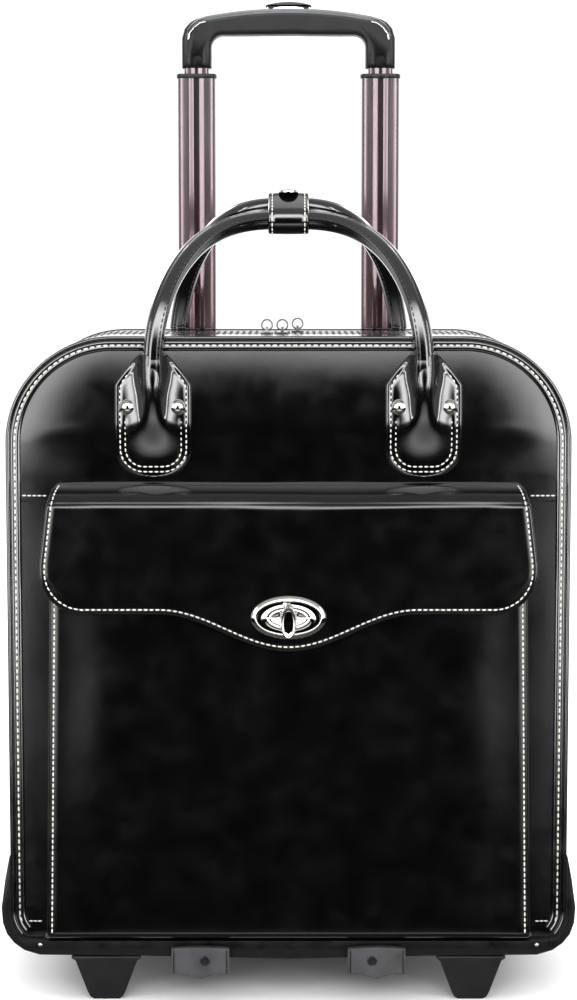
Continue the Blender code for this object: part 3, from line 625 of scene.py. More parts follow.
# ---- front and back panels -----------------------------------------------------------
def padding(x, z):
    """How far the padded leather stands proud of the board."""
    rise = portion(inside_by(x, z), BINDING - 2.0, BINDING - 2.0 + PUFF_WIDTH)
    full = PUFF_LOW + (PUFF - PUFF_LOW) * smoothstep(z, PUFF_START, PUFF_END)
    return full * (1.0 - (1.0 - rise) ** 2)


def front_surface(x, z):
    """Y of the front leather: padded, a little uneven, lapped at the yoke's seam."""
    lap = 0.3 * smoothstep(z, YOKE_SEAM - 0.5, YOKE_SEAM + 0.5)
    calm = smoothstep(inside_by(x, z), 6.0, 40.0)
    uneven = wander(x, 0.0, z, 70.0, 0.55, 3.1) + wander(x, 0.0, z, 26.0, 0.12, 7.7)
    return FRONT - padding(x, z) - 0.2 - lap - calm * uneven


def back_surface(x, z):
    """Y of the back leather."""
    calm = smoothstep(inside_by(x, z), 6.0, 40.0)
    return BACK + 0.2 + calm * wander(x, 5.0, z, 60.0, 0.35, 1.3)


def panel_heights():
    """Rows of the panels' grids, crowded at both ends and at the yoke's seam."""
    rows = [FOOT_Z - FOOT_RADIUS * math.cos(math.radians(turn)) for turn in spread(0.0, 80.0, 8)]
    rows += spread(FOOT_Z + 4.0, YOKE_SEAM - 4.0, 40)
    rows += [YOKE_SEAM + step for step in (-1.5, -0.8, -0.3, 0.3, 0.8, 1.5, 4.0, 9.0, 15.0, 20.0)]
    rows += [CORNER_Z + TOP_RADIUS * math.sin(math.radians(turn)) for turn in spread(0.0, 90.0, 34)]
    return sorted(rows)


def body_panel(name, node, surface, outward):
    """A leather panel over its board, edge to edge."""
    bm = bmesh.new()
    rows = []
    for z in panel_heights():
        half = half_width(z) - 0.6
        row = []
        for part in spread(-1.0, 1.0, 72):
            x = half * math.sin(part * math.pi / 2.0)
            row.append(Vector((x, surface(x, z), z)))
        rows.append(row)
    skin(bm, rows)
    piece = finish_mesh(name, bm, LEATHER, None, inside=LINING, closed=False)
    turn_faces(piece, 1, outward)
    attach(piece, "case")
    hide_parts(node)
    thicken(piece, 2.6, inside=True)


def binding_section():
    """The binding across its width: a bead on the edge, then a stitched flat band."""
    bead = [(-0.5, 3.1), (-0.95, 1.6)]
    bead += [(0.45 - 1.45 * math.cos(t), -0.75 - 1.45 * math.sin(t)) for t in spread(0.0, 2.4, 8)]
    band = [(2.05, -1.25), (2.6, -1.75), (3.4, -1.95), (4.3, -1.85), (4.6, -1.62)]
    band += [(STITCH_INSET, -1.52), (5.2, -1.62), (5.5, -1.85), (6.6, -1.95), (7.6, -1.8)]
    band += [(8.25, -1.35), (8.5, -0.7), (8.5, 0.4)]
    return bead + band


def edge_binding(name, node, face, outward):
    """The binding round a panel's edge, with its stitches."""
    bm = bmesh.new()
    rows = []
    for x, z, nx, nz in whole_run(BINDING_FOOT):
        row = []
        for inset, raise_by in binding_section():
            y = face - outward * raise_by
            row.append(Vector((x - nx * inset, y, z - nz * inset)))
        rows.append(row)
    skin(bm, rows)
    piece = finish_mesh(name, bm, TRIM_LEATHER, "case", smooth=60.0, closed=False)
    turn_faces(piece, 1, outward)
    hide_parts(node)
    path = []
    for x, z, _, _ in whole_run(BINDING_FOOT + 6.0, STITCH_INSET):
        path.append((Vector((x, face + outward * 1.75, z)), Vector((0.0, outward, 0.0))))
    stitches(f"{name}_stitches", [path], "case")


def panels_and_bindings():
    """Both panels and their bindings."""
    body_panel("front_panel_leather", "front_panel", front_surface, -1.0)
    body_panel("back_panel_leather", "back_panel", back_surface, 1.0)
    edge_binding("front_edge_binding", "front_binding", FRONT, -1.0)
    edge_binding("rear_edge_binding", "rear_binding", BACK, 1.0)


def front_seam(xs, z):
    """A level seam on the front leather."""
    return [(Vector((x, front_surface(x, z) - 0.1, z)), FORWARD) for x in xs]


def yoke_seams():
    """The stitched seams beside the pocket, high and low."""
    paths = []
    for _, side in sides():
        xs = spread(side * (HALF - BINDING - 0.4), side * (FLAP_HIGH.x - 3.0), 6)
        paths.append(front_seam(xs, YOKE_SEAM + 3.4))
        xs = spread(side * (HALF - BINDING - 2.0), side * LOW_SEAM_END, 4)
        paths.append(front_seam(xs, LOW_SEAM))
    stitches("yoke_seam_stitches", paths, "case", pitch=3.4, length=2.6, width=1.0)


# ---- gussets and zips ----------------------------------------------------------------
FRONT_STRIP = corners("front_zip_flap")
REAR_STRIP = corners("rear_zip_flap")
ZIP_HALF_RUN = FRONT_STRIP[1].x
FRONT_ZIP = (FRONT_STRIP[1].y, FRONT_STRIP[1].y + 5.0)
REAR_ZIP = (REAR_STRIP[0].y - 5.0, REAR_STRIP[0].y)
ZIP_TURN = math.degrees(math.acos((ZIP_HALF_RUN - CORNER_X) / TOP_RADIUS))


def gusset_strips():
    """The side walls' leather, slightly bowed between the two bindings."""
    low_y = FRONT + 2.4
    high_y = BACK - 2.4
    end = math.radians(ZIP_TURN)
    run = [spot for spot in edge_run(BOTTOM + 1.0, 0.0, 40) if math.atan2(spot[3], spot[2]) < end]
    for name, side in sides():
        bm = bmesh.new()
        rows = []
        for x, z, nx, nz in run:
            row = []
            fade = smoothstep(z, BOTTOM, 110.0) * (1.0 - smoothstep(z, 330.0, 400.0))
            for part in spread(0.0, 1.0, 24):
                y = low_y + (high_y - low_y) * part
                bow = math.sin(math.pi * part)
                out = fade * (1.3 * bow + wander(0.0, y, z, 55.0, 0.9, 4.0) * bow) - 0.2
                row.append(Vector((side * (x + nx * out), y, z + nz * out)))
            rows.append(row)
        skin(bm, rows)
        sheet = {"inside": LINING, "closed": False}
        piece = finish_mesh(f"gusset_leather_{name}", bm, LEATHER, "case", **sheet)
        turn_faces(piece, 0, side)
        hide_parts(f"gusset_{name}")
        thicken(piece, 2.2, inside=True)
        paths = []
        for y in (low_y + 5.5, high_y - 5.5):
            path = []
            for x, z, nx, nz in run:
                normal = Vector((side * nx, 0.0, nz))
                path.append((Vector((side * x, y, z)) + normal * 0.1, normal))
            paths.append(path)
        stitches(f"gusset_stitches_{name}", paths, "case", material=DARK_THREAD)


def top_run(inset):
    """The zips' run over the top: (x, z, normal x, normal z), right to left."""
    points = []
    for turn in spread(ZIP_TURN, 90.0, 14):
        part = math.radians(turn)
        n = (math.cos(part), math.sin(part))
        r = TOP_RADIUS - inset
        points.append((CORNER_X + r * n[0], CORNER_Z + r * n[1], *n))
    for x in spread(CORNER_X, 0.0, 20)[1:]:
        points.append((x, TOP - inset, 0.0, 1.0))
    left = [(-x, z, -nx, nz) for x, z, nx, nz in reversed(points[:-1])]
    return points + left


def strip_over_top(name, section, material, body, thickness=None, inside=None):
    """A strip over the top with a section of (y, lift) points."""
    bm = bmesh.new()
    rows = []
    for x, z, nx, nz in top_run(0.0):
        rows.append([Vector((x + nx * lift, y, z + nz * lift)) for y, lift in section])
    skin(bm, rows)
    piece = finish_mesh(name, bm, material, body, smooth=50.0, inside=inside, closed=False)
    turn_faces(piece, 2, 1.0)
    if thickness:
        thicken(piece, thickness, inside=bool(inside))
    return piece


def folded_edge(y, towards):
    """The rounded, sewn-down fold at a strip's edge beside a zip, edge last."""
    steps = [(7.0, 0.0), (5.4, 0.25), (4.2, 0.2), (3.6, 0.0), (3.0, 0.2), (1.8, 0.3)]
    steps += [(0.9, 0.15), (0.3, -0.35), (0.0, -1.1)]
    return [(y - towards * back, rise) for back, rise in steps]


def zip_strips():
    """The leather strips beside the zips, with folded edges and their stitches."""
    low = FRONT_STRIP[0].y + 0.1
    section = [(y, 0.0) for y in spread(low, FRONT_ZIP[0] - 9.0, 8)]
    section += folded_edge(FRONT_ZIP[0], 1.0)
    piece = strip_over_top("front_zip_strip", section, LEATHER, "front_zip_flap", 1.9, LINING)
    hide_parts("front_zip_flap")
    high = REAR_STRIP[1].y - 0.1
    section = [(y, 0.0) for y in spread(high, REAR_ZIP[1] + 9.0, 8)]
    section += folded_edge(REAR_ZIP[1], -1.0)
    piece = strip_over_top("rear_zip_strip", section, LEATHER, "rear_zip_flap", 1.9, LINING)
    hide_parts("rear_zip_flap")
    left = folded_edge(FRONT_ZIP[1], -1.0)
    right = folded_edge(REAR_ZIP[0], 1.0)
    middle = strip_over_top("centre_strip", left[::-1] + right, LEATHER, "case", 1.9, LINING)
    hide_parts("centre_divider")
    rows = (
        ("front_strip_stitches", FRONT_ZIP[0] - 3.6, "front_zip_flap"),
        ("centre_strip_front_stitches", FRONT_ZIP[1] + 3.6, "case"),
        ("centre_strip_rear_stitches", REAR_ZIP[0] - 3.6, "case"),
        ("rear_strip_stitches", REAR_ZIP[1] + 3.6, "rear_zip_flap"),
    )
    for name, y, body in rows:
        path = []
        for x, z, nx, nz in top_run(0.0):
            path.append((Vector((x + nx * 0.15, y, z + nz * 0.15)), Vector((nx, 0.0, nz))))
        stitches(name, [path], body, pitch=4.2, length=2.9, width=0.9, material=DARK_THREAD)


def zip_half(name, y, towards, body):
    """One half of a zip: tape and its row of teeth, reaching past the middle line y."""
    tape = [(y - towards * 9.0, -2.15), (y - towards * 1.0, -2.1), (y - towards * 0.7, -1.5)]
    tape += [(y - towards * 0.1, -1.5)]
    strip_over_top(f"{name}_tape", tape, TAPE, body, 0.5)
    bm = bmesh.new()
    first = 0 if towards > 0.0 else 1
    run = [(Vector((x, y, z)), Vector((nx, 0.0, nz))) for x, z, nx, nz in top_run(0.9)]
    for point, normal, tangent in resampled(run, 1.1)[first::2]:
        tooth(bm, point, normal, tangent, towards)
    finish_mesh(f"{name}_teeth", bm, DARK_STEEL, body, smooth=30.0)


def tooth(bm, point, normal, tangent, towards):
    """One zip tooth: a root on its tape and a narrower head that meshes with its neighbours."""
    across = Vector((0.0, towards, 0.0))
    shape = ((-1.9, 0.5, 0.42), (-0.5, 0.46, 0.5), (0.35, 0.36, 0.46), (0.7, 0.2, 0.3))
    rings = []
    for reach, half, lift in shape:
        centre = point + across * reach
        rings.append([
            centre + tangent * half + normal * lift,
            centre - tangent * half + normal * lift,
            centre - tangent * half - normal * lift,
            centre + tangent * half - normal * lift,
        ])
    tube(bm, rings)


def zips():
    """Both zips, each half on the side that it is sewn to."""
    middle = sum(FRONT_ZIP) / 2.0
    zip_half("front_zip_front", middle, 1.0, "front_zip_flap")
    zip_half("front_zip_centre", middle, -1.0, "case")
    middle = sum(REAR_ZIP) / 2.0
    zip_half("rear_zip_centre", middle, 1.0, "case")
    zip_half("rear_zip_rear", middle, -1.0, "rear_zip_flap")


def zip_pulls():
    """Sliders with rounded noses, and their rings."""
    for name in ("front_zip_left", "front_zip_right", "rear_zip"):
        low, high = corners(f"{name}_ring")
        centre = (low + high) / 2.0
        wire = 0.52
        reach = (high.x - low.x) / 2.0 - wire
        profile = [(reach + wire * math.cos(t), wire * math.sin(t)) for t in circle(12)]
        bm = bmesh.new()
        turned_ring(bm, profile, centre, "Y", 48)
        piece = finish_mesh(f"{name}_pull_ring", bm, RING_METAL, f"{name}_ring")
        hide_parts(f"{name}_ring")
        softened(f"{name}_slider", f"{name}_slider_body", RING_METAL, f"{name}_slider", 0.25)


# ---- carried-over hard parts ---------------------------------------------------------
SHARP_FROM = 28.0               # edges sharper than this are rounded, in degrees


def softened(node, name, material, body, width, slot=None):
    """A CAD part's shape with its edges rounded, standing for the part."""
    source = frame["nodes"][node]
    bm = bmesh.new()
    bm.from_mesh(source.data)
    bmesh.ops.remove_doubles(bm, verts=bm.verts[:], dist=0.00001)
    bmesh.ops.dissolve_limit(
        bm, angle_limit=math.radians(2.0), verts=bm.verts[:], edges=bm.edges[:],
        use_dissolve_boundaries=False,
    )
    bmesh.ops.scale(bm, verts=bm.verts[:], vec=(1.0 / MM, 1.0 / MM, 1.0 / MM))
    piece = finish_mesh(name, bm, material, body, smooth=SHARP_FROM)
    change = piece.modifiers.new("rounding", "BEVEL")
    change.width = width * MM
    change.segments = 3
    change.limit_method = "ANGLE"
    change.angle_limit = math.radians(SHARP_FROM)
    change.harden_normals = False
    bake_modifiers(piece)
    piece.data.shade_smooth()
    piece.data.set_sharp_from_angle(angle=math.radians(50.0))
    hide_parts(node)


def hard_parts():
    """The moulded and metal parts whose CAD shape is right."""
    black = {"material": BLACK_PLASTIC, "body": "case", "slot": "black_plastic"}
    softened("base_tray", "base_tray_moulding", width=1.0, **black)
    softened("trolley_cradle", "cradle_moulding", width=0.9, **black)
    softened("trolley_top_bracket", "bracket_moulding", width=0.6, **black)
    softened("lock_strike", "strike_plate", CHROME, "case", 0.35, slot="chrome")
    softened("bottom_board", "bottom_board_panel", BOARD, "case", 0.5, slot="board")
    for name, _ in sides():
        foot = {**black, "material": FOOT_PLASTIC}
        softened(f"front_foot_{name}", f"foot_moulding_{name}", width=1.2, **foot)
        softened(f"wheel_housing_{name}", f"housing_moulding_{name}", width=0.8, **black)
        softened(f"axle_{name}", f"axle_pin_{name}", STEEL, "case", 0.4, slot="steel")
        metal_name = f"outer_tube_metal_{name}"
        softened(f"outer_tube_{name}", metal_name, DARK_STEEL, "case", 0.2, slot="dark_tube")


# ---- front pocket --------------------------------------------------------------------
POCKET_EDGE = 2.2               # rounding of the pocket's upright edges
POCKET_BASE = 5.0               # rounding of its lower edge
POCKET_TAPER = 4.5              # how much narrower it is at its top, each side
POCKET_FULL = 290.0             # the height over which it is softly full
SEAM_INSET = 3.3                # stitch line, from the edge of pocket, flap and tabs


def pocket_half(z):
    """Half the pocket's width at a height."""
    part = (z - POCKET_LOW.z) / (POCKET_HIGH.z - POCKET_LOW.z)
    return POCKET_HIGH.x - POCKET_TAPER * part


def seam_dip(inset, centre=SEAM_INSET):
    """The channel that a tight row of stitches pulls into leather."""
    return 0.32 * math.exp(-((inset - centre) / 0.8) ** 2)


def pocket_face(x, z):
    """Y of the pocket's front: flat at its seams, softly full between them."""
    inset = pocket_half(z) - abs(x)
    fullness = smoothstep(inset, 3.0, 38.0)
    rise = portion(z, POCKET_LOW.z, POCKET_LOW.z + POCKET_FULL)
    tall = max(math.sin(math.pi * rise), 0.0) ** 0.6
    uneven = wander(x, 0.0, z, 85.0, 0.8, 11.0) + wander(x, 0.0, z, 30.0, 0.14, 5.0)
    return POCKET_LOW.y + 0.3 + seam_dip(inset) - fullness * (1.1 * tall + uneven)


def pocket_row(z, front, back, retreat):
    """One level of the pocket: round a side, across the front and back round the other side."""
    half = pocket_half(max(z, POCKET_LOW.z + POCKET_BASE))
    edge = min(POCKET_EDGE, max(back - front, 0.02) / 2.0)
    right = []
    for part in spread(0.0, 1.0, 5):
        right.append((half, back + (front + edge - back) * part))
    for turn in spread(0.0, 90.0, 5)[1:]:
        part = math.radians(turn)
        right.append((half - edge + edge * math.cos(part), front + edge - edge * math.sin(part)))
    steps = [0.7, 1.1, 1.6, 2.4, 4.5, 8.0]
    xs = [half - edge - step for step in steps]
    xs += spread(xs[-1] - 5.0, 0.0, 26)
    for x in xs:
        level = pocket_face(x, z) - POCKET_LOW.y
        right.append((x, front + level * retreat))
    left = [(-x, y) for x, y in reversed(right[:-1])]
    return [Vector((x, y, z)) for x, y in right + left]


def pocket():
    """The pocket: one sheet that wraps the front, sides and bottom, open above."""
    low_y, back = POCKET_LOW.y + 0.3, POCKET_HIGH.y
    bm = bmesh.new()
    rows = []
    for z in spread(POCKET_HIGH.z, POCKET_LOW.z + POCKET_BASE, 56):
        rows.append(pocket_row(z, low_y, back, 1.0))
    for turn in spread(0.0, 90.0, 6)[1:]:
        part = math.radians(turn)
        z = POCKET_LOW.z + POCKET_BASE * (1.0 - math.sin(part))
        front = low_y + POCKET_BASE * (1.0 - math.cos(part))
        rows.append(pocket_row(z, front, back, math.cos(part)))
    for part in spread(0.0, 1.0, 5)[1:]:
        front = low_y + POCKET_BASE + (back - low_y - POCKET_BASE - 0.1) * part
        rows.append(pocket_row(POCKET_LOW.z, front, back, 0.0))
    skin(bm, rows)
    sheet = {"smooth": 60.0, "inside": LINING, "closed": False}
    piece = finish_mesh("pocket_leather", bm, POCKET_LEATHER, "case", **sheet)
    turn_faces(piece, 1, -1.0)
    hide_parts("front_pocket")
    thicken(piece, 2.0, inside=True)
    paths = []
    for _, side in sides():
        path = []
        for z in spread(POCKET_LOW.z + 4.0, POCKET_HIGH.z - 1.0, 30):
            x = side * (pocket_half(z) - SEAM_INSET)
            path.append((Vector((x, pocket_face(x, z) - 0.05, z)), FORWARD))
        paths.append(path)
    hem = []
    z = POCKET_HIGH.z - 6.0
    for x in spread(-pocket_half(z) + 6.0, pocket_half(z) - 6.0, 40):
        hem.append((Vector((x, pocket_face(x, z) - 0.05, z)), FORWARD))
    paths.append(hem)
    stitches("pocket_stitches", paths, "case", pitch=3.6, length=2.7, width=1.0)


# ---- flap ----------------------------------------------------------------------------
FLAP_SKIN = 3.0                 # the flap's thickness
FLAP_DROP = 12.0                # height of the rolled fold
FLAP_NARROW = 5.0               # how much narrower the flap is at its fold, each side
FLAP_WIDEST = 282.0             # height where it starts to narrow
FLAP_CORNER = 27.0              # radius of its lower corners
FLAP_LOBE = 23.4                # how far the middle lobe hangs below the hem
LOBE_HALF = 81.0                # half the lobe's width
FLAP_HEM = FLAP_LOW.z + FLAP_LOBE
FLAP_FACE = FLAP_LOW.y
SHOULDER = FLAP_HIGH.z - FLAP_DROP  # height where the fold ends and the flap hangs
CORNER_CENTRE = FLAP_HIGH.x - FLAP_CORNER


def flap_hem(x):
    """Height of the flap's lower edge: round corners, straight hem and middle lobe."""
    x = abs(x)
    if x > CORNER_CENTRE:
        rise = math.sqrt(max(FLAP_CORNER ** 2 - (x - CORNER_CENTRE) ** 2, 0.0))
        return FLAP_HEM + FLAP_CORNER - rise
    if x > LOBE_HALF:
        return FLAP_HEM
    return FLAP_HEM - FLAP_LOBE * (0.5 + 0.5 * math.cos(math.pi * x / LOBE_HALF))


def flap_narrowing(z, turn):
    """Width factor of the flap at a height, less over the fold."""
    taper = portion(z, FLAP_WIDEST, FLAP_WIDEST + 40.0)
    fold = 5.5 * (1.0 - turn / 90.0) ** 1.5
    return 1.0 - (FLAP_NARROW * taper + fold) / FLAP_HIGH.x


def hem_slope(x):
    """Slope of the hem at x."""
    return (flap_hem(x + 0.05) - flap_hem(x - 0.05)) / 0.1


def flap_inside(x, z):
    """Distance from the flap's edge, inwards."""
    x = abs(x)
    side = FLAP_HIGH.x - x
    if x > CORNER_CENTRE and z < FLAP_HEM + FLAP_CORNER:
        return FLAP_CORNER - math.hypot(x - CORNER_CENTRE, z - FLAP_HEM - FLAP_CORNER)
    below = (z - flap_hem(x)) / math.hypot(1.0, hem_slope(x)) if x < CORNER_CENTRE else 99.0
    return min(side, below)


def flap_relief(x, z, turn):
    """How far the flap's outer face stands out: seam channel, fullness and the fold's crease."""
    inset = flap_inside(x, z)
    calm = smoothstep(inset, 4.0, 30.0)
    uneven = wander(x, 0.0, z, 75.0, 0.7, 21.0) + wander(x, 0.0, z, 28.0, 0.12, 9.0)
    crease_at = 20.0 + 9.0 * noise.noise(Vector((x / 85.0, 4.0, 0.5)))
    crease = 0.85 * math.exp(-((turn - crease_at) / 4.5) ** 2) * smoothstep(inset, 2.0, 12.0)
    over = math.sin(math.radians(2.0 * min(turn, 90.0)))
    roll = 0.5 * noise.noise(Vector((x / 60.0, 9.0, 1.5))) * over
    return 0.3 * calm - seam_dip(inset) + calm * uneven * 0.8 - crease + calm * roll


def flap_point(x, z_face, turn, lift):
    """A point at x on the flap. turn is 0 at its root and 90 from the shoulder down."""
    part = math.radians(min(turn, 90.0))
    middle = FLAP_FACE + FLAP_SKIN / 2.0
    root = FRONT - 1.0
    reach = root - middle
    drop = FLAP_DROP
    y = root - reach * math.sin(part)
    z = z_face if turn >= 90.0 else FLAP_HIGH.z - FLAP_SKIN / 2.0 - drop * (1.0 - math.cos(part))
    normal = Vector((0.0, -math.sin(part) / reach, math.cos(part) / drop)).normalized()
    width = flap_narrowing(z, turn)
    return Vector((x * width, y, z)) + normal * lift


def flap_columns():
    """Columns over the flap's width, crowded near its sides."""
    near = [0.0, 0.25, 0.7, 1.3, 2.0, 2.7, 3.3, 3.9, 4.8, 6.5, 8.5, 11.0, 14.0, 17.5, 21.5, 26.0]
    right = [FLAP_HIGH.x - step for step in near]
    right += spread(right[-1] - 5.0, 0.0, 27)
    return right + [-x for x in reversed(right[:-1])]


def flap_levels(x):
    """(z, turn) down one column, crowded near the hem."""
    low = flap_hem(x)
    near = [6.5, 4.8, 3.9, 3.3, 2.7, 2.0, 1.3, 0.7, 0.25, 0.0]
    levels = [(SHOULDER, turn) for turn in spread(0.0, 84.0, 16)]
    top = SHOULDER
    for part in spread(0.0, 1.0, 22)[:-1]:
        levels.append((top + (low + 9.0 - top) * part, 90.0))
    levels += [(low + step, 90.0) for step in near]
    return levels


def flap():
    """The flap: outer and inner faces that meet in a rounded edge."""
    half = FLAP_SKIN / 2.0
    bm = bmesh.new()
    for face in (1.0, -1.0):
        rows = []
        for x in flap_columns():
            row = []
            for z, turn in flap_levels(x):
                inset = flap_inside(x, z) if turn >= 90.0 else FLAP_HIGH.x - abs(x)
                round_off = math.sqrt(max(1.0 - (1.0 - min(inset / half, 1.0)) ** 2, 0.0))
                lift = face * half * round_off
                if face > 0.0:
                    lift += flap_relief(x, z, turn) * round_off
                row.append(flap_point(x, z, turn, lift))
            rows.append(row)
        skin(bm, rows)
    bmesh.ops.remove_doubles(bm, verts=bm.verts[:], dist=0.01)
    piece = finish_mesh("flap_leather", bm, POCKET_LEATHER, "flap", smooth=70.0)
    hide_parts("flap")
    stitches("flap_stitches", [flap_seam()], "flap", pitch=3.65, length=2.75, width=0.95)


def flap_seam():
    """The stitch line inside the flap's edge: up one side, round the hem and up the other."""
    half = FLAP_SKIN / 2.0
    spots = [(FLAP_HIGH.x - SEAM_INSET, SHOULDER, turn) for turn in spread(22.0, 84.0, 10)]
    for z in spread(SHOULDER, FLAP_HEM + FLAP_CORNER, 8):
        spots.append((FLAP_HIGH.x - SEAM_INSET, z, 90.0))
    inner = FLAP_CORNER - SEAM_INSET
    for turn in spread(0.0, -90.0, 14)[1:]:
        part = math.radians(turn)
        z = FLAP_HEM + FLAP_CORNER + inner * math.sin(part)
        spots.append((CORNER_CENTRE + inner * math.cos(part), z, 90.0))
    for x in spread(CORNER_CENTRE - 2.0, 0.0, 60):
        slope = hem_slope(x)
        length = math.hypot(1.0, slope)
        spots.append((x - slope / length * SEAM_INSET, flap_hem(x) + SEAM_INSET / length, 90.0))
    path = []
    for x, z, turn in spots:
        outer = flap_point(x, z, turn, half + flap_relief(x, z, turn) + 0.1)
        inner_point = flap_point(x, z, turn, 0.0)
        path.append((outer, (outer - inner_point).normalized()))
    left = [(Vector((-p.x, p.y, p.z)), Vector((-n.x, n.y, n.z))) for p, n in reversed(path[:-1])]
    return path + left


# ---- turn lock -----------------------------------------------------------------------
def oval_stack(bm, rings, centre_x, centre_z, segments=72):
    """Skin ovals given as (half width, half height, y)."""
    rows = []
    for half_x, half_z, y in rings:
        row = []
        for turn in circle(segments):
            x = centre_x + half_x * math.cos(turn)
            row.append(Vector((x, y, centre_z + half_z * math.sin(turn))))
        rows.append(row)
    tube(bm, rows)


def seen_box(low, high):
    """A part's front view: its middle's x and z, and half its width and height."""
    half_x, half_z = (high.x - low.x) / 2.0, (high.z - low.z) / 2.0
    return (low.x + high.x) / 2.0, (low.z + high.z) / 2.0, half_x, half_z


def turn_lock():
    """The oval plate with its broad bevelled rim, a spring clip, and the turning knob."""
    x, z, half_x, half_z = seen_box(PLATE_LOW, PLATE_HIGH)
    back = PLATE_HIGH.y
    rim = [(0.0, 0.0), (0.0, 0.5), (0.25, 0.85), (0.8, 1.25)]
    rim += [(2.4, 2.15), (2.9, 2.3), (3.3, 2.15), (3.5, 1.7)]
    rings = [(half_x - inset, half_z - inset, back - lift) for inset, lift in rim]
    rings += [(half_x - 5.0, half_z - 4.6, back - 1.55)]
    inner = [(14.6, 7.9, 1.6), (14.1, 7.4, 2.0), (13.5, 6.8, 2.25), (12.9, 6.3, 2.0)]
    inner += [(12.5, 5.9, 1.65), (11.9, 5.4, 1.65), (11.5, 5.1, 1.95), (11.0, 4.7, 2.0)]
    inner += [(10.5, 4.3, 1.7), (10.1, 4.0, 1.3), (2.7, 2.7, 1.25), (2.6, 2.6, 0.0)]
    rings += [(a, b, back - lift) for a, b, lift in inner]
    bm = bmesh.new()
    oval_stack(bm, rings, x, z)
    plate = finish_mesh("lock_plate_oval", bm, CHROME, "flap", smooth=55.0)
    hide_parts("lock_plate")
    bm = bmesh.new()
    bmesh.ops.create_uvsphere(bm, u_segments=16, v_segments=10, radius=1.45)
    bmesh.ops.translate(bm, verts=bm.verts[:], vec=(x - 2.2, back - 2.2, z + 7.9))
    middle = Vector((x, back, z))
    steps = ((-1.6, -2.1, 8.0), (0.6, -2.2, 8.4), (3.4, -2.0, 6.4))
    arm = [middle + Vector(step) for step in steps]
    sweep(bm, arm, FORWARD, round_section(6, 0.85), [1.0, 1.0, 0.6])
    spring_clip = finish_mesh("lock_spring_clip", bm, CHROME, "flap", smooth=60.0)
    x, z, half_x, half_z = seen_box(KNOB_LOW, KNOB_HIGH)
    top = KNOB_LOW.y
    rings = [(2.1, 2.1, FLAP_FACE + 2.0), (2.1, 2.1, top + 4.6)]
    rings += [(half_x - 1.3, half_z - 1.3, top + 4.4), (half_x - 0.4, half_z - 0.4, top + 3.9)]
    rings += [(half_x, half_z, top + 3.0), (half_x, half_z, top + 1.2)]
    rings += [(half_x - 0.3, half_z - 0.3, top + 0.4), (half_x - 0.8, half_z - 0.8, top)]
    rings += [(half_x - 1.3, half_z - 1.4, top + 0.2), (half_x - 1.6, half_z - 1.9, top + 0.8)]
    rings += [(half_x - 2.4, half_z - 3.4, top + 0.95), (0.8, 1.6, top + 0.7)]
    bm = bmesh.new()
    oval_stack(bm, rings, x, z, 48)
    knob = finish_mesh("lock_knob", bm, CHROME, "turn_knob", smooth=50.0)
    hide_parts("turn_knob")


# ---- carry handles -------------------------------------------------------------------
def handle_shape(node, joint):
    """A handle's leg x, leg y, apex y, pivot height and rise, from its CAD box."""
    low, high = corners(node)
    pivot = anchor(joint)
    leans_back = abs(low.y + HANDLE_R - pivot.y) < 1.0
    return {
        "x": high.x - HANDLE_R,
        "y": pivot.y,
        "apex": high.y - HANDLE_R if leans_back else low.y + HANDLE_R,
        "pivot": pivot.z,
        "rise": high.z - HANDLE_R - pivot.z,
    }


def handle_point(shape, turn):
    """Centre of a handle's core; turn runs from -90 at its left leg to 90 at its right."""
    part = math.radians(90.0 - abs(turn))
    reach = max(math.cos(part), 0.0) ** 0.68
    height = math.sin(part)
    x = math.copysign(shape["x"] * reach, turn)
    y = shape["y"] + (shape["apex"] - shape["y"]) * height ** 2.6
    return Vector((x, y, shape["pivot"] + shape["rise"] * height))


SEAM_TURN = math.radians(30.0)  # where the handle's seam lies, towards its inner side
CREASE_TURN = math.radians(-33.0)  # where the leather's crease lies, on its other side
BAND_START = -0.10              # edges of the flat sewn band, across the handle, in radii
BAND_END = 0.72


def handle_section(lift=0.0):
    """Round section with a flat sewn band on its inner front and a crease beside it."""
    section = []
    for step in circle(48):
        turn = step - math.pi
        radius = HANDLE_R + lift
        if abs(turn) < math.pi / 2.0:
            flat = radius * 0.99 / math.cos(turn)
            across = math.tan(turn)
            inside = smoothstep(across, BAND_START - 0.12, BAND_START + 0.05)
            inside *= 1.0 - smoothstep(across, BAND_END, BAND_END + 0.30)
            radius += (min(flat, radius * 1.24) - radius) * inside
        radius -= 0.70 * math.exp(-((turn - CREASE_TURN) / 0.11) ** 2)
        radius -= 0.35 * math.exp(-((turn - SEAM_TURN) / 0.07) ** 2)
        section.append((turn, radius))
    return section


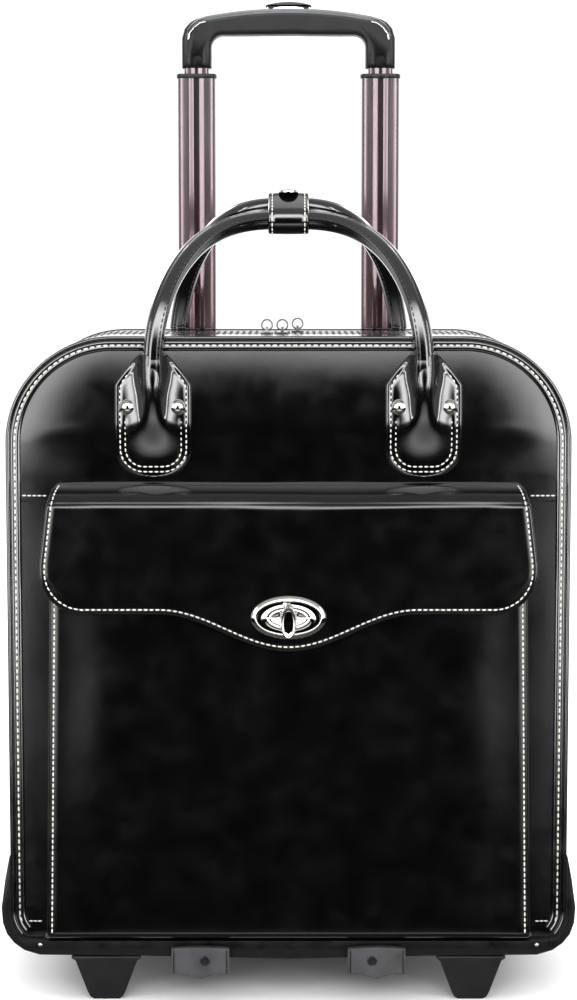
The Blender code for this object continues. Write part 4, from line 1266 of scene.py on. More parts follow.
def carry_handle(end):
    """The front or rear rolled leather handle with its seam."""
    name, node, body = f"{end}_handle_leather", f"{end}_carry_handle", f"{end}_handle"
    shape = handle_shape(node, f"{end}_handle_swing")
    core = [handle_point(shape, turn) for turn in spread(-90.0, 90.0, 150)]
    down = Vector((0.0, 0.0, -1.0))
    first = [core[0] + down * HANDLE_R * drop for drop in (0.98, 0.9, 0.72, 0.45, 0.2)]
    last = [core[-1] + down * HANDLE_R * drop for drop in (0.2, 0.45, 0.72, 0.9, 0.98)]
    ends = [0.18, 0.43, 0.69, 0.89, 0.98]
    sizes = ends + [1.0 + wander(p.x, p.y, p.z, 30.0, 0.012, 2.0) for p in core] + ends[::-1]
    points = first + core + last
    bm = bmesh.new()
    sweep(bm, points, FORWARD, handle_section(), sizes)
    piece = finish_mesh(name, bm, TRIM_LEATHER, body, smooth=60.0)
    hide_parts(node)
    path = []
    for point, (_, normal, side) in zip(core, frames_along(core, FORWARD)):
        out = normal * math.cos(SEAM_TURN) + side * math.sin(SEAM_TURN)
        path.append((point + out * HANDLE_R * 1.12, normal))
    stitches(f"{name}_seam", [path], body, pitch=4.0, length=2.9, width=0.85, material=DARK_THREAD)
    return shape


TAB_LOW = corners("front_tab_left")[0].z
TAB_ROUND = 18.0                # radius of a tab's lower corners
TAB_FLAT = 6.0                  # half the straight edge between them
TAB_HALF = TAB_FLAT + TAB_ROUND
TAB_SIDES = TAB_LOW + TAB_ROUND  # height where its sides run straight
TAB_RIVET = (15.7, 379.2)       # a rivet's place beside a tab's middle, and its height
SHOULDER_Z = 393.0              # height where a tab starts to narrow
TAB_TOP = 413.5                 # where a tab closes round its handle


def tab_half(z):
    """Half a tab's width: round below, widest at its shoulders, narrowing to the handle."""
    if z < TAB_SIDES:
        return TAB_FLAT + math.sqrt(max(TAB_ROUND ** 2 - (TAB_SIDES - z) ** 2, 0.0))
    if z < SHOULDER_Z:
        return TAB_HALF
    part = (z - SHOULDER_Z) / (TAB_TOP - SHOULDER_Z)
    return TAB_HALF - (TAB_HALF - 7.6) * (part * (0.75 + 0.25 * part))


def tab_bulge(x, z, full):
    """How far the handle's buried end lifts a tab's leather; full is its height at the top."""
    height = full * smoothstep(z, 340.0, 402.0) ** 1.2
    half = 8.2 + 4.0 * (1.0 - smoothstep(z, 352.0, 382.0)) + 0.8 * smoothstep(z, 384.0, 400.0)
    t = abs(x) / half
    steep = 3.0 + 2.0 * smoothstep(z, 384.0, 404.0)
    return height * (1.0 - 0.3 * min(t, 1.0) ** 2) / (1.0 + t ** steep)


def tab_inside(x, z):
    """Distance from a tab's edge, inwards."""
    slope = (tab_half(z + 0.1) - tab_half(z - 0.1)) / 0.2
    return (tab_half(z) - abs(x)) / math.hypot(1.0, min(abs(slope), 6.0))


def tab_surface(x, z, full):
    """How far a tab's face stands above the leather under it."""
    inset = tab_inside(x, z)
    edge = 2.1 * math.sqrt(max(1.0 - (1.0 - min(inset / 1.2, 1.0)) ** 2, 0.0))
    aside, above = abs(x) - TAB_RIVET[0], z - TAB_RIVET[1]
    rivets = 0.5 * math.exp(-((aside / 7.0) ** 2 + (above / 7.0) ** 2))
    dips = seam_dip(inset) + (seam_dip(inset, SEAM_INSET + 3.2) if z < 372.0 else 0.0)
    return edge - dips - rivets + tab_bulge(x, z, full)


def tab_levels():
    """Rows of a tab's grid, crowded at its round end."""
    turns = spread(1.5, 88.0, 16)
    rows = [TAB_SIDES - TAB_ROUND * math.cos(math.radians(turn)) for turn in turns]
    return rows + spread(TAB_SIDES + 1.5, TAB_TOP - 0.5, 38)


def handle_tab(name, node, x_centre, face, outward, handle_y):
    """A tab: a flat, double-stitched shield with the handle's bulge rising out of it."""
    buried = outward * (handle_y - face(x_centre, 402.0)) + HANDLE_R + 0.8 - 2.1
    bm = bmesh.new()
    rows = []
    for z in tab_levels():
        half = tab_half(z)
        row = []
        for part in spread(-1.0, 1.0, 56):
            x = half * math.sin(part * math.pi / 2.0) * 0.999
            y = face(x_centre + x, z) + outward * tab_surface(x, z, buried)
            row.append(Vector((x_centre + x, y, z)))
        rows.append(row)
    skin(bm, rows)
    piece = finish_mesh(name, bm, TRIM_LEATHER, "case", smooth=75.0, closed=False)
    turn_faces(piece, 1, outward)
    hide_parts(node)
    thicken(piece, 1.0)
    paths = [tab_seam(x_centre, face, outward, SEAM_INSET, 408.0)]
    paths.append(tab_seam(x_centre, face, outward, SEAM_INSET + 3.2, 371.5))
    stitches(f"{name}_stitches", paths, "case", pitch=3.55, length=2.6, width=1.0)


def tab_seam(x_centre, face, outward, inset, high):
    """A stitch line inside a tab's edge, up to a height on both sides."""
    radius = TAB_ROUND - inset
    right = [(TAB_FLAT * part, TAB_SIDES - radius) for part in (0.0, 0.5)]
    right += [(TAB_FLAT + a, TAB_SIDES + b) for a, b in arc((0.0, 0.0), radius, -90, 0, 10)]
    heights = spread(TAB_SIDES + 2.0, min(high, SHOULDER_Z - 2.0), 6)
    right += [(TAB_HALF - inset, z) for z in heights]
    if high > SHOULDER_Z:
        right += [(tab_half(z) - inset * 1.15, z) for z in spread(SHOULDER_Z + 2.0, high, 6)]
    points = [(-x, z) for x, z in reversed(right[1:])] + right
    path = []
    for x, z in points:
        y = face(x_centre + x, z) + outward * (tab_surface(x, z, 0.0) + 0.1)
        path.append((Vector((x_centre + x, y, z)), Vector((0.0, outward, 0.0))))
    return path


def neck_sleeve(name, shape, side):
    """The tab's leather where it closes round the handle."""
    x = side * shape["x"]
    pivot = shape["pivot"]
    points = [Vector((x, shape["y"], z)) for z in spread(pivot - 14.0, pivot + 9.0, 14)]
    bm = bmesh.new()
    sizes = []
    for point in points:
        foot = 0.93 + 0.07 * smoothstep(point.z, pivot - 14.0, pivot - 6.0)
        sizes.append(foot * (1.0 - 0.17 * smoothstep(point.z, pivot, pivot + 9.0)))
    section = handle_section(0.6)
    if side > 0.0:
        section = [(-turn, radius) for turn, radius in reversed(section)]
    sweep(bm, points, FORWARD, section, sizes, caps=False)
    piece = finish_mesh(name, bm, TRIM_LEATHER, None, smooth=60.0)
    thicken(piece, 0.7)
    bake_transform(piece)


def rivet(name, node):
    """A domed rivet head with a thin flange."""
    low, high = corners(node)
    centre = (low + high) / 2.0
    radius = (high.x - low.x) / 2.0
    base = front_surface(centre.x, centre.z) - 1.6
    profile = [(radius * 0.9, 0.0), (radius + 0.15, -0.25), (radius + 0.2, -0.7)]
    profile += [(radius - 0.1, -1.0), (radius - 0.5, -1.15)]
    for turn in spread(15.0, 88.0, 8):
        part = math.radians(turn)
        profile.append(((radius - 0.6) * math.cos(part), -1.0 - 2.6 * math.sin(part)))
    bm = bmesh.new()
    turned(bm, profile, (centre.x, base, centre.z), "Y", 32)
    piece = finish_mesh(name, bm, CHROME, "case", smooth=50.0)
    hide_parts(node)


def handles_and_tabs():
    """Both handles, the four tabs, the necks between them and the rivets."""
    front, rear = carry_handle("front"), carry_handle("rear")
    pairs = (("front", front, front_surface, -1.0), ("rear", rear, back_surface, 1.0))
    for name, side in sides():
        for end, shape, face, outward in pairs:
            x = side * shape["x"]
            tab = f"{end}_tab_leather_{name}"
            handle_tab(tab, f"{end}_tab_{name}", x, face, outward, shape["y"])
        for end, shape, _, _ in pairs:
            neck_sleeve(f"{end}_neck_{name}", shape, side)
        for spot in ("outer", "inner"):
            rivet(f"rivet_head_{name}_{spot}", f"rivet_{name}_{spot}")
    keeper(front, rear)


def keeper(front, rear):
    """The stitched wrap round both handles, with its press stud."""
    low, high = corners("handle_keeper")
    half = (high.x - low.x) / 2.0
    a = handle_point(front, 0.0)
    b = handle_point(rear, 0.0)
    along = Vector((0.0, b.y - a.y, b.z - a.z))
    tilt = math.degrees(math.atan2(along.z, along.y))
    radius = HANDLE_R + 3.1
    loop = arc((a.y, a.z), radius, tilt + 90.0, tilt + 270.0, 18)
    loop += arc((b.y, b.z), radius, tilt - 90.0, tilt + 90.0, 18)
    edge = [(0.0, -2.0), (-0.15, -1.1), (0.25, -0.3), (1.0, 0.05), (1.8, 0.0)]
    edge += [(2.5, -0.3), (3.2, 0.0), (5.0, 0.12)]
    across = [(-half + x, lift) for x, lift in edge] + [(0.0, 0.2)]
    across += [(-x, lift) for x, lift in reversed(across[:-1])]
    across += [(half - 0.4, -2.2), (-half + 0.4, -2.2)]
    bm = bmesh.new()
    rows = []
    for i, (y, z) in enumerate(loop):
        centre = a if i <= 18 else b
        out = Vector((0.0, y - centre.y, z - centre.z)).normalized()
        rows.append([Vector((x, y, z)) + out * lift for x, lift in across])
    skin_loop(bm, rows)
    piece = finish_mesh("keeper_wrap", bm, TRIM_LEATHER, "front_handle", smooth=50.0)
    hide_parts("handle_keeper")
    paths = []
    for x in (-half + 2.5, half - 2.5):
        path = []
        for i, (y, z) in enumerate(loop + loop[:1]):
            centre = a if i <= 18 or i > 37 else b
            out = Vector((0.0, y - centre.y, z - centre.z)).normalized()
            path.append((Vector((x, y, z)), out))
        paths.append(path)
    stitches("keeper_stitches", paths, "front_handle", pitch=3.6, length=2.7, width=0.9)
    low, high = corners("keeper_snap")
    centre = (low + high) / 2.0
    rim = (high.x - low.x) / 2.0
    profile = [(rim, -0.5), (rim, 0.5), (rim - 0.3, 1.0), (rim - 0.9, 1.25), (rim - 1.5, 1.1)]
    profile += [(rim - 1.9, 0.9), (rim - 2.6, 1.3), (rim - 4.0, 1.9), (0.6, 2.2)]
    bm = bmesh.new()
    turned(bm, profile, (centre.x, centre.y, low.z), "Z", 40)
    snap = finish_mesh("keeper_press_stud", bm, CHROME, "front_handle", smooth=50.0)
    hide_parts("keeper_snap")


# ---- trolley -------------------------------------------------------------------------
def grooved_section(width, depth, groove=1.4, half_groove=3.5):
    """A flat oval whose broad faces fall gently away from a groove with sloping walls."""
    a, b = width / 2.0, depth / 2.0
    low, high = half_groove - 1.4, half_groove + 1.5
    xs = [0.0, low - 0.15, low + 0.15, half_groove, high - 0.15, high + 0.15, high + 1.2]
    xs += [a * part for part in (0.55, 0.64, 0.72, 0.79, 0.85, 0.90, 0.94, 0.97, 0.99, 1.0)]
    right = []
    for x in sorted(xs):
        level = (b - 0.07 * max(x - high, 0.0)) * max(1.0 - (x / a) ** 13, 0.0) ** (1.0 / 2.1)
        level -= groove * (1.0 - portion(x, low, high))
        right.append((x, max(level, 0.0)))
    upper = [(-x, y) for x, y in reversed(right[1:])] + right
    return upper + [(x, -y) for x, y in reversed(upper[1:-1])]


def plain_section(width, depth):
    """A flat oval without a groove."""
    points = []
    for turn in circle(40):
        c, s = math.cos(turn), math.sin(turn)
        x = math.copysign(abs(c) ** 0.75, c) * width / 2.0
        points.append((x, math.copysign(abs(s) ** 0.75, s) * depth / 2.0))
    return points


def extruded(bm, section, centre, levels):
    """Skin a section scaled by (z, scale) levels about an upright centre line."""
    rows = []
    for z, scale in levels:
        rows.append([Vector((centre[0] + x * scale, centre[1] + y * scale, z)) for x, y in section])
    tube(bm, rows)


GROOVE_SHADE_HALF = 1.2              # half width of the painted shade at a groove's bottom


def trolley():
    """Middle and inner tubes, with painted shade along their grooves' bottoms, and the collars."""
    for name, _ in sides():
        for stage, groove, half_groove, body in (
            ("middle", 1.4, 3.5, "trolley_middle"),
            ("inner", 0.8, 2.4, "trolley_grip"),
        ):
            low, high = corners(f"{stage}_tube_{name}")
            centre = ((low.x + high.x) / 2.0, (low.y + high.y) / 2.0)
            size = (high.x - low.x, high.y - low.y)
            levels = [(z, 1.0) for z in (low.z, (low.z + high.z) / 2.0, high.z)]
            bm = bmesh.new()
            extruded(bm, grooved_section(*size, groove, half_groove), centre, levels)
            tube_name = f"{stage}_tube_anodised_{name}"
            piece = finish_mesh(tube_name, bm, PLUM, body, smooth=55.0, inside=PLUM_GROOVE_SHADE)
            # painted shade: faces along each groove's bottom take the darker plum material
            for face in piece.data.polygons:
                if abs(face.center.x / MM - centre[0]) < GROOVE_SHADE_HALF:
                    face.material_index = 1
            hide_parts(f"{stage}_tube_{name}")
            if stage == "middle":
                bm = bmesh.new()
                levels = [(high.z - 3.0, 1.01), (high.z - 2.6, 1.05)]
                levels += [(high.z - 0.5, 1.05), (high.z + 0.1, 1.01)]
                extruded(bm, grooved_section(*size, 0.8), centre, levels)
                collar = finish_mesh(f"tube_collar_{name}", bm, GRIP_PLASTIC, body, smooth=40.0)


def offset_outline(outline, inset):
    """A closed outline moved inwards along its corners' normals (outline runs anticlockwise)."""
    moved = []
    count = len(outline)
    for i, (x, z) in enumerate(outline):
        before = Vector(outline[i - 1])
        after = Vector(outline[(i + 1) % count])
        a = (Vector((x, z)) - before).normalized()
        b = (after - Vector((x, z))).normalized()
        n = Vector((-(a.y + b.y), a.x + b.x))
        if n.length < 1e-6:
            n = Vector((-a.y, a.x))
        n.normalize()
        scale = 1.0 / max(n.dot(Vector((-a.y, a.x))), 0.5)
        moved.append((x + n.x * inset * scale, z + n.y * inset * scale))
    return moved


def rounded_prism(bm, outline, low, high, radius, steps=5):
    """A prism along Y whose front and back edges are rounded."""
    flat = offset_outline(outline, radius + 0.5)
    rows = [[Vector((x, low, z)) for x, z in flat]]
    turns = spread(90.0, 0.0, steps)
    for turn in turns:
        part = math.radians(turn)
        ring = offset_outline(outline, radius * (1.0 - math.cos(part)))
        rows.append([Vector((x, low + radius * (1.0 - math.sin(part)), z)) for x, z in ring])
    for turn in reversed(turns):
        part = math.radians(turn)
        ring = offset_outline(outline, radius * (1.0 - math.cos(part)))
        rows.append([Vector((x, high - radius * (1.0 - math.sin(part)), z)) for x, z in ring])
    rows.append([Vector((x, high, z)) for x, z in flat])
    tube(bm, rows)


GRIP_LEG = 52.4                 # inner side of the grip's legs, from the middle
GRIP_ARCH = 621.0               # height of the crossbar's underside
GRIP_ARCH_R = 8.0               # rounding between the legs and the crossbar
RECESS_HALF = 3.5               # half width of the arched notch at each leg's bottom
RECESS_ARCH = 604.5             # height where its arch begins
RECESS_FOOT = 596.0             # its lower end, below the leg
RECESS_DEEP = 3.4               # how deep it goes into the leg's face


def crown(x, drop=0.0):
    """Height of the grip's top at x."""
    return INSERT_HIGH.z - 6.0 * (x / INSERT_HIGH.x) ** 2 - drop


def insert_half_outline(drop):
    """The insert's upper edge from the chamfered corner to the middle."""
    edge = GRIP_HIGH.x
    corner = ((edge - 2.6, 620.8), (edge - 3.4, 624.6), (edge - 6.6, 628.6), (61.5, 631.6))
    points = [(x - 0.45 * drop, z - 0.75 * drop) for x, z in corner]
    points += [(x, crown(x, drop)) for x in spread(56.0, 0.0, 12)]
    return points


def grip():
    """Grip body with its recesses, the lighter insert with the button's well, and its beads."""
    edge = GRIP_HIGH.x
    arch = arc((GRIP_LEG - GRIP_ARCH_R, GRIP_ARCH - GRIP_ARCH_R), GRIP_ARCH_R, 0, 86, 8)
    inner = [(GRIP_LEG, GRIP_LOW.z)] + arch + [(30.0, GRIP_ARCH), (0.0, GRIP_ARCH + 0.3)]
    right_up = [(edge, GRIP_LOW.z), (edge, 612.0), (edge, 619.0)]
    right_up += [(edge - 1.8, 625.5), (edge - 5.4, 629.4), (62.0, 632.0)]
    right_up += [(x, crown(x, 1.2)) for x in spread(56.0, 0.0, 12)]
    outline = right_up + [(-x, z) for x, z in reversed(right_up[:-1])]
    outline += [(-x, z) for x, z in inner] + inner[-2::-1]
    bm = bmesh.new()
    rounded_prism(bm, outline, GRIP_LOW.y, GRIP_HIGH.y, 3.2)
    body = finish_mesh("grip_body", bm, GRIP_PLASTIC, "trolley_grip", smooth=45.0)
    for _, side in sides():
        recess(body, side * (GRIP_LEG + GRIP_HIGH.x) / 2.0)
    bake_modifiers(body)
    remove_guides()
    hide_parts("grip")
    upper = insert_half_outline(0.0)
    lower = insert_half_outline(3.4)
    band = upper + [(-x, z) for x, z in reversed(upper[:-1])]
    under = lower + [(-x, z) for x, z in reversed(lower[:-1])]
    bm = bmesh.new()
    rounded_prism(bm, band + under[::-1], GRIP_LOW.y - 0.25, GRIP_HIGH.y + 0.25, 1.3, 4)
    insert = finish_mesh("grip_soft_insert", bm, INSERT_PLASTIC, "trolley_grip", smooth=45.0)
    button_well(insert)
    bake_modifiers(insert)
    remove_guides()
    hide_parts("grip_insert")
    for name, side in sides():
        trim = [(side * x, z) for x, z in insert_half_outline(3.9)[:5]]
        bm = bmesh.new()
        for y in (GRIP_LOW.y - 0.1, GRIP_HIGH.y + 0.1):
            path = [Vector((x, y, z)) for x, z in trim]
            sweep(bm, path, (0.0, 1.0, 0.0), round_section(8, 0.75))
        bead = finish_mesh(f"grip_trim_{name}", bm, CHROME, "trolley_grip", smooth=60.0)


GUIDES = []                     # shapes that only cut others


def subtract(body, bm, name):
    """Cut a shape out of a body when its modifiers are baked."""
    guide = finish_mesh(f"guide_{len(GUIDES)}", bm, GRIP_PLASTIC, None)
    GUIDES.append(guide)
    change = body.modifiers.new(name, "BOOLEAN")
    change.solver = "EXACT"
    change.operation = "DIFFERENCE"
    change.object = guide


def recess(body, x):
    """Cut the arched notch at the bottom of a grip's leg, front and back."""
    radius = RECESS_HALF
    arch = [(x + a, RECESS_ARCH + b) for a, b in arc((0.0, 0.0), radius, 0, 180, 10)]
    outline = [(x + radius, RECESS_FOOT)] + arch + [(x - radius, RECESS_FOOT)]
    front = (GRIP_LOW.y - 5.0, GRIP_LOW.y + RECESS_DEEP)
    rear = (GRIP_HIGH.y - RECESS_DEEP, GRIP_HIGH.y + 5.0)
    for low, high in (front, rear):
        bm = bmesh.new()
        tube(bm, [[Vector((a, y, b)) for a, b in outline] for y in (low, high)])
        subtract(body, bm, "recess")


def button_well(body):
    """Cut the well that the push button sinks into."""
    half = BUTTON_HIGH.x + 0.5
    low, high = BUTTON_LOW.y - 0.5, BUTTON_HIGH.y + 0.5
    outline = [(-half, low), (half, low), (half, high), (-half, high)]
    bm = bmesh.new()
    extruded(bm, outline, (0.0, 0.0), [(BUTTON_LOW.z - 4.0, 1.0), (BUTTON_HIGH.z + 5.0, 1.0)])
    subtract(body, bm, "well")


def remove_guides():
    """Delete the cutting shapes."""
    while GUIDES:
        bpy.data.objects.remove(GUIDES.pop(), do_unlink=True)


def release_parts():
    """The push button on its bright stem, the release bar and rods, and the spring."""
    low, high = BUTTON_LOW, BUTTON_HIGH
    half = high.x
    y = (low.y + high.y) / 2.0
    cap = ((1.0, 2.6), (0.94, 2.0), (0.6, 0.7), (0.3, 0.15))
    top = [(half * part, high.z - drop) for part, drop in cap] + [(0.0, high.z)]
    outline = top + [(-x, z) for x, z in reversed(top[:-1])]
    outline += [(x, high.z - 2.9) for x in spread(-half * 0.96, half * 0.96, 6)]
    bm = bmesh.new()
    rounded_prism(bm, outline, low.y, high.y, 0.5, 3)
    button = finish_mesh("release_button", bm, GREY_PLASTIC, "release", smooth=45.0)
    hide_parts("push_button")
    bm = bmesh.new()
    levels = [(low.z, 1.0), (high.z - 3.2, 1.0), (high.z - 2.6, 0.96)]
    extruded(bm, plain_section(half * 1.9, (high.y - low.y) * 0.9), (0.0, y), levels)
    stem = finish_mesh("button_stem", bm, CHROME, "release", smooth=45.0)
    softened("release_yoke", "release_bar", STEEL, "release", 0.25, slot="steel")
    softened("release_spring", "return_spring", STEEL, "trolley_grip", 0.02, slot="steel")


def toe_lips():
    """The grey upturned toes, with side ribs and a screw boss."""
    for name, side in sides():
        low, high = corners(f"toe_lip_{name}")
        x = (low.x + high.x) / 2.0
        half = (high.x - low.x) / 2.0
        left = [(-half, high.z - 0.9), (-half, low.z + 2.6)]
        left += [(-half * 0.55, low.z + 2.6), (-half * 0.25, low.z + 1.0)]
        edge = left + [(0.0, low.z)] + [(-a, b) for a, b in reversed(left)]
        top = [(half * part, high.z - 0.9 * part * part) for part in spread(0.75, -0.75, 6)]
        outline = [(x + a, b) for a, b in edge + top]
        bm = bmesh.new()
        rounded_prism(bm, outline, low.y, high.y, 0.8, 3)
        for spot in (-half + 1.6, half - 1.6):
            rib = [(x + spot - 0.55, low.z + 3.6), (x + spot + 0.55, low.z + 3.6)]
            rib += [(x + spot + 0.55, high.z - 1.6), (x + spot - 0.55, high.z - 1.6)]
            rounded_prism(bm, rib, low.y - 0.55, low.y + 1.0, 0.3, 2)
        piece = finish_mesh(f"toe_moulding_{name}", bm, GREY_PLASTIC, "case", smooth=40.0)
        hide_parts(f"toe_lip_{name}")
        bm = bmesh.new()
        boss = [(3.0, 0.0), (3.0, -0.5), (2.6, -0.8), (1.9, -0.75), (1.6, -0.3), (0.5, -0.25)]
        turned(bm, boss, (x - side * 3.0, low.y, (low.z + high.z) / 2.0 + 1.6), "Y", 24)
        screw = finish_mesh(f"toe_screw_{name}", bm, DARK_STEEL, "case", smooth=35.0)


GUARD_RIVET = (158.5, 35.4)     # a rivet's distance from the middle and its height


def guard_rivets():
    """The small rivets that fix the base's corners."""
    x, z = GUARD_RIVET
    profile = [(1.5, 0.3), (1.5, -0.2), (1.1, -0.6), (0.5, -0.8)]
    bm = bmesh.new()
    for _, side in sides():
        turned(bm, profile, (side * x, TRAY_LOW.y, z), "Y", 20)
    piece = finish_mesh("guard_rivets", bm, STEEL, "case", smooth=40.0)


def wheels():
    """Hubs with spokes, and tyres with a grooved tread."""
    for name, _ in sides():
        body = f"wheel_{name}"
        low, high = corners(f"tyre_{name}")
        centre = (low + high) / 2.0
        half = (high.x - low.x) / 2.0
        radius = (high.z - low.z) / 2.0
        tread = [(15.2, half - 0.9), (17.5, half - 0.4), (20.5, half), (22.2, half - 0.5)]
        tread += [(23.3, half - 1.7), (radius - 0.15, half - 3.6), (radius, half - 5.0)]
        tread += [(radius, 3.2), (radius - 0.9, 2.7), (radius - 0.9, 2.0), (radius, 1.5)]
        profile = tread + [(r, -d) for r, d in reversed(tread)]
        bm = bmesh.new()
        turned_ring(bm, profile, centre, "X", 72)
        tyre = finish_mesh(f"tyre_rubber_{name}", bm, RUBBER, body, smooth=35.0)
        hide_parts(f"tyre_{name}")
        moulding = f"hub_moulding_{name}"
        softened(f"wheel_hub_{name}", moulding, GREY_PLASTIC, body, 0.5, slot="grey_plastic")
        bm = bmesh.new()
        for turn in circle(6):
            for face in (-1.0, 1.0):
                spoke(bm, centre, turn, face, half)
        ribs = finish_mesh(f"hub_spokes_{name}", bm, GREY_PLASTIC, body, smooth=40.0)


def spoke(bm, centre, turn, face, half):
    """One raised rib of a hub, from its boss to its rim."""
    out = Vector((0.0, math.cos(turn), math.sin(turn)))
    across = Vector((0.0, -math.sin(turn), math.cos(turn)))
    rings = []
    for reach, width, depth in ((6.8, 1.5, 0.9), (10.5, 1.1, 1.7), (14.4, 1.4, 1.6)):
        middle = centre + out * reach
        top = Vector((face * (half - depth), 0.0, 0.0))
        base = Vector((face * (half - 4.0), 0.0, 0.0))
        rings.append([
            middle + across * width + base,
            middle + across * (width - 0.35) + top,
            middle - across * (width - 0.35) + top,
            middle - across * width + base,
        ])
    tube(bm, rings)


# ---- cover over the trolley ----------------------------------------------------------
def cover_section(z):
    """The cover's section at a height, as (x, y) from right to left."""
    half = SLEEVE_HIGH.x
    base = BACK + 0.3
    deep = SLEEVE_HIGH.y
    right = [(half + 6.0, base + 0.4), (half + 2.5, base + 0.5), (half + 0.6, base + 1.6)]
    right += [(half, y) for y in spread(base + 4.0, deep - 9.0, 5)]
    right += [(half - 9.0 + a, deep - 9.0 + b) for a, b in arc((0.0, 0.0), 9.0, 0, 90, 8)[1:]]
    fade = math.sin(math.pi * (z - SLEEVE_LOW.z) / (SLEEVE_HIGH.z - SLEEVE_LOW.z)) ** 0.5
    for x in spread(half - 11.0, 0.0, 22):
        hollow = 1.6 * math.exp(-(x / 26.0) ** 2) * fade
        uneven = wander(x, 40.0, z, 60.0, 0.5, 6.0) * fade
        right.append((x, deep - hollow + uneven))
    left = [(-x, y) for x, y in reversed(right[:-1])]
    return right + left


def trolley_cover():
    """The leather cover sewn over the tubes, with folded hems and seams."""
    low, high = SLEEVE_LOW.z, SLEEVE_HIGH.z
    levels = [low, low + 0.5, low + 1.2] + spread(low + 5.0, high - 5.0, 40)
    levels += [high - 1.2, high - 0.5, high]
    bm = bmesh.new()
    rows = []
    for z in levels:
        section = cover_section(min(max(z, low + 0.5), high - 0.5))
        rows.append([Vector((x, y, z)) for x, y in section])
    skin(bm, rows)
    sheet = {"smooth": 60.0, "inside": LINING, "closed": False}
    piece = finish_mesh("trolley_cover_leather", bm, LEATHER, "case", **sheet)
    turn_faces(piece, 1, 1.0)
    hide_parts("trolley_sleeve")
    thicken(piece, 1.9, inside=True)
    paths = []
    back = Vector((0.0, 1.0, 0.0))
    for _, side in sides():
        x = side * (SLEEVE_HIGH.x + 4.2)
        heights = spread(low + 3.0, high - 3.0, 20)
        paths.append([(Vector((x, BACK + 0.3 + 0.55, z)), back) for z in heights])
    for z in (low + 5.0, high - 5.0):
        face = [spot for spot in cover_section(z) if spot[1] >= SLEEVE_HIGH.y - 6.0]
        path = []
        for x in spread(-SLEEVE_HIGH.x + 12.0, SLEEVE_HIGH.x - 12.0, 40):
            y = min(face, key=lambda spot: abs(spot[0] - x))[1]
            path.append((Vector((x, y + 0.05, z)), back))
        paths.append(path)
    stitches("trolley_cover_stitches", paths, "case")


def divider_lining():
    """The lined board between the two compartments."""
    low, high = corners("centre_divider")
    y = (low.y + high.y) / 2.0
    bm = bmesh.new()
    points = [(x - nx * 3.2, z - nz * 3.2) for x, z, nx, nz in whole_run(BOTTOM + 8.0)]
    points = [(x, max(z, low.z + 0.4)) for x, z in points]
    rounded_prism(bm, points, y - 1.5, y + 1.5, 0.5, 2)
    piece = finish_mesh("divider_lining", bm, LINING, "case", smooth=40.0)


# ---- stage ---------------------------------------------------------------------------
def area_light(name, location, target, size, power):
    """A rectangular softbox that faces a target, hidden from the camera."""
    data = bpy.data.lights.new(name, "AREA")
    data.shape = "RECTANGLE"
    data.size, data.size_y = size
    data.energy = power
    lamp = bpy.data.objects.new(name, data)
    lamp.location = location
    lamp.rotation_euler = (Vector(target) - Vector(location)).to_track_quat("-Z", "Y").to_euler()
    lamp.visible_camera = False
    bpy.context.scene.collection.objects.link(lamp)
    return lamp


FLOOR_REACH = 9000.0            # half the floor's side


def backdrop():
    """A pale floor, kept out of the mirror-like reflections in the leather."""
    bm = bmesh.new()
    marks = spread(-FLOOR_REACH, FLOOR_REACH, 12)
    rows = [[Vector((x, y, 0.0)) for y in marks] for x in marks]
    skin(bm, rows)
    made, tree, shader = new_material("studio_floor")
    where = object_coordinates(tree)
    tone = ramp(tree, noise_field(tree, where, 3.0, 2.0), [(0.3, 0.86), (0.7, 0.90)])
    feed(tree, shader, Base_Color=tone, Roughness=0.9, Specular_IOR_Level=0.1)
    floor = finish_mesh("studio_floor", bm, made, None, closed=False)
    floor.visible_glossy = False


CAMERA_PLACE = (0.0, -1.62, 0.485)  # metres
CAMERA_DOWN = 6.06              # how far it looks down, in degrees
CAMERA_LENS = 89.25


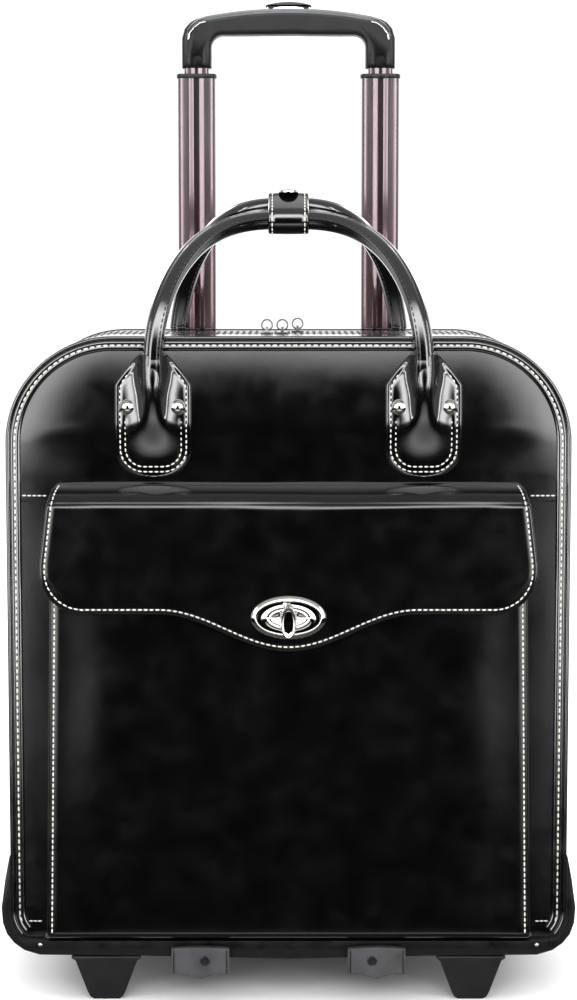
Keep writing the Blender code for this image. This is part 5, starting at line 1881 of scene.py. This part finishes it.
def studio():
    """Camera, lights and world."""
    camera = bpy.data.objects.new("camera", bpy.data.cameras.new("camera"))
    camera.location = CAMERA_PLACE
    camera.rotation_euler = (math.radians(90.0 - CAMERA_DOWN), 0.0, 0.0)
    camera.data.lens = CAMERA_LENS
    camera.data.sensor_width = 36.0
    bpy.context.scene.collection.objects.link(camera)
    bpy.context.scene.camera = camera
    bpy.context.scene.view_settings.view_transform = "Standard"
    studio_world()
    middle = (0.0, 0.0, 0.3)
    front = area_light("front_box", (0.0, -1.80, 1.05), (0.0, 0.0, 0.4), (1.9, 1.1), 22.0)
    front.visible_glossy = False
    overhead = area_light("overhead", (0.0, -0.35, 1.75), (0.0, -0.05, 0.35), (1.5, 0.9), 10.0)
    overhead.visible_glossy = False
    area_light("left_strip", (-1.35, -1.0, 0.65), middle, (0.16, 1.3), 6.0)
    area_light("right_strip", (1.35, -1.0, 0.65), middle, (0.16, 1.3), 6.0)
    area_light("back_left", (-1.3, 1.5, 1.5), middle, (0.9, 0.9), 18.0)
    area_light("back_right", (1.3, 1.5, 1.5), middle, (0.9, 0.9), 18.0)


def studio_world():
    """White surroundings, but mirror-like reflections see a dark room.

    The room has a white back wall (+Y) and, round the camera's side (-Y), a bright box
    above and a dim one below. Directions run from -1 to 1 along each axis.
    """
    world = bpy.data.worlds.new("studio")
    world.use_nodes = True
    tree = world.node_tree
    background = tree.nodes["Background"]
    background.inputs["Color"].default_value = (1.0, 1.0, 1.0, 1.0)
    where = tree.nodes.new("ShaderNodeTexCoord")
    parts = tree.nodes.new("ShaderNodeSeparateXYZ")
    tree.links.new(where.outputs["Generated"], parts.inputs["Vector"])
    wall = to_range(tree, parts.outputs["Y"], 0.0, 1.3, 0.1, 0.9)
    box = to_range(tree, parts.outputs["Y"], 0.0, 6.5, -0.975, -0.905)
    ahead = to_range(tree, parts.outputs["Y"], 1.0, 0.07, -0.80, -0.66)
    upper = to_range(tree, parts.outputs["Z"], 0.0, 1.0, -0.22, -0.15)
    lower = to_range(tree, parts.outputs["Z"], 0.2, 0.0, -0.58, -0.42)
    ring = combine(tree, "MULTIPLY", box, ahead)
    around = combine(tree, "MULTIPLY", ring, combine(tree, "ADD", upper, lower))
    room = combine(tree, "ADD", wall, around)
    path = tree.nodes.new("ShaderNodeLightPath")
    level = tree.nodes.new("ShaderNodeMix")
    level.inputs["A"].default_value = 1.2
    tree.links.new(path.outputs["Is Glossy Ray"], level.inputs["Factor"])
    tree.links.new(room, level.inputs["B"])
    tree.links.new(level.outputs["Result"], background.inputs["Strength"])
    bpy.context.scene.world = world


panels_and_bindings()
yoke_seams()
gusset_strips()
zip_strips()
zips()
zip_pulls()
pocket()
flap()
turn_lock()
handles_and_tabs()
trolley()
grip()
release_parts()
toe_lips()
guard_rivets()
wheels()
trolley_cover()
divider_lining()
hard_parts()
backdrop()
studio()
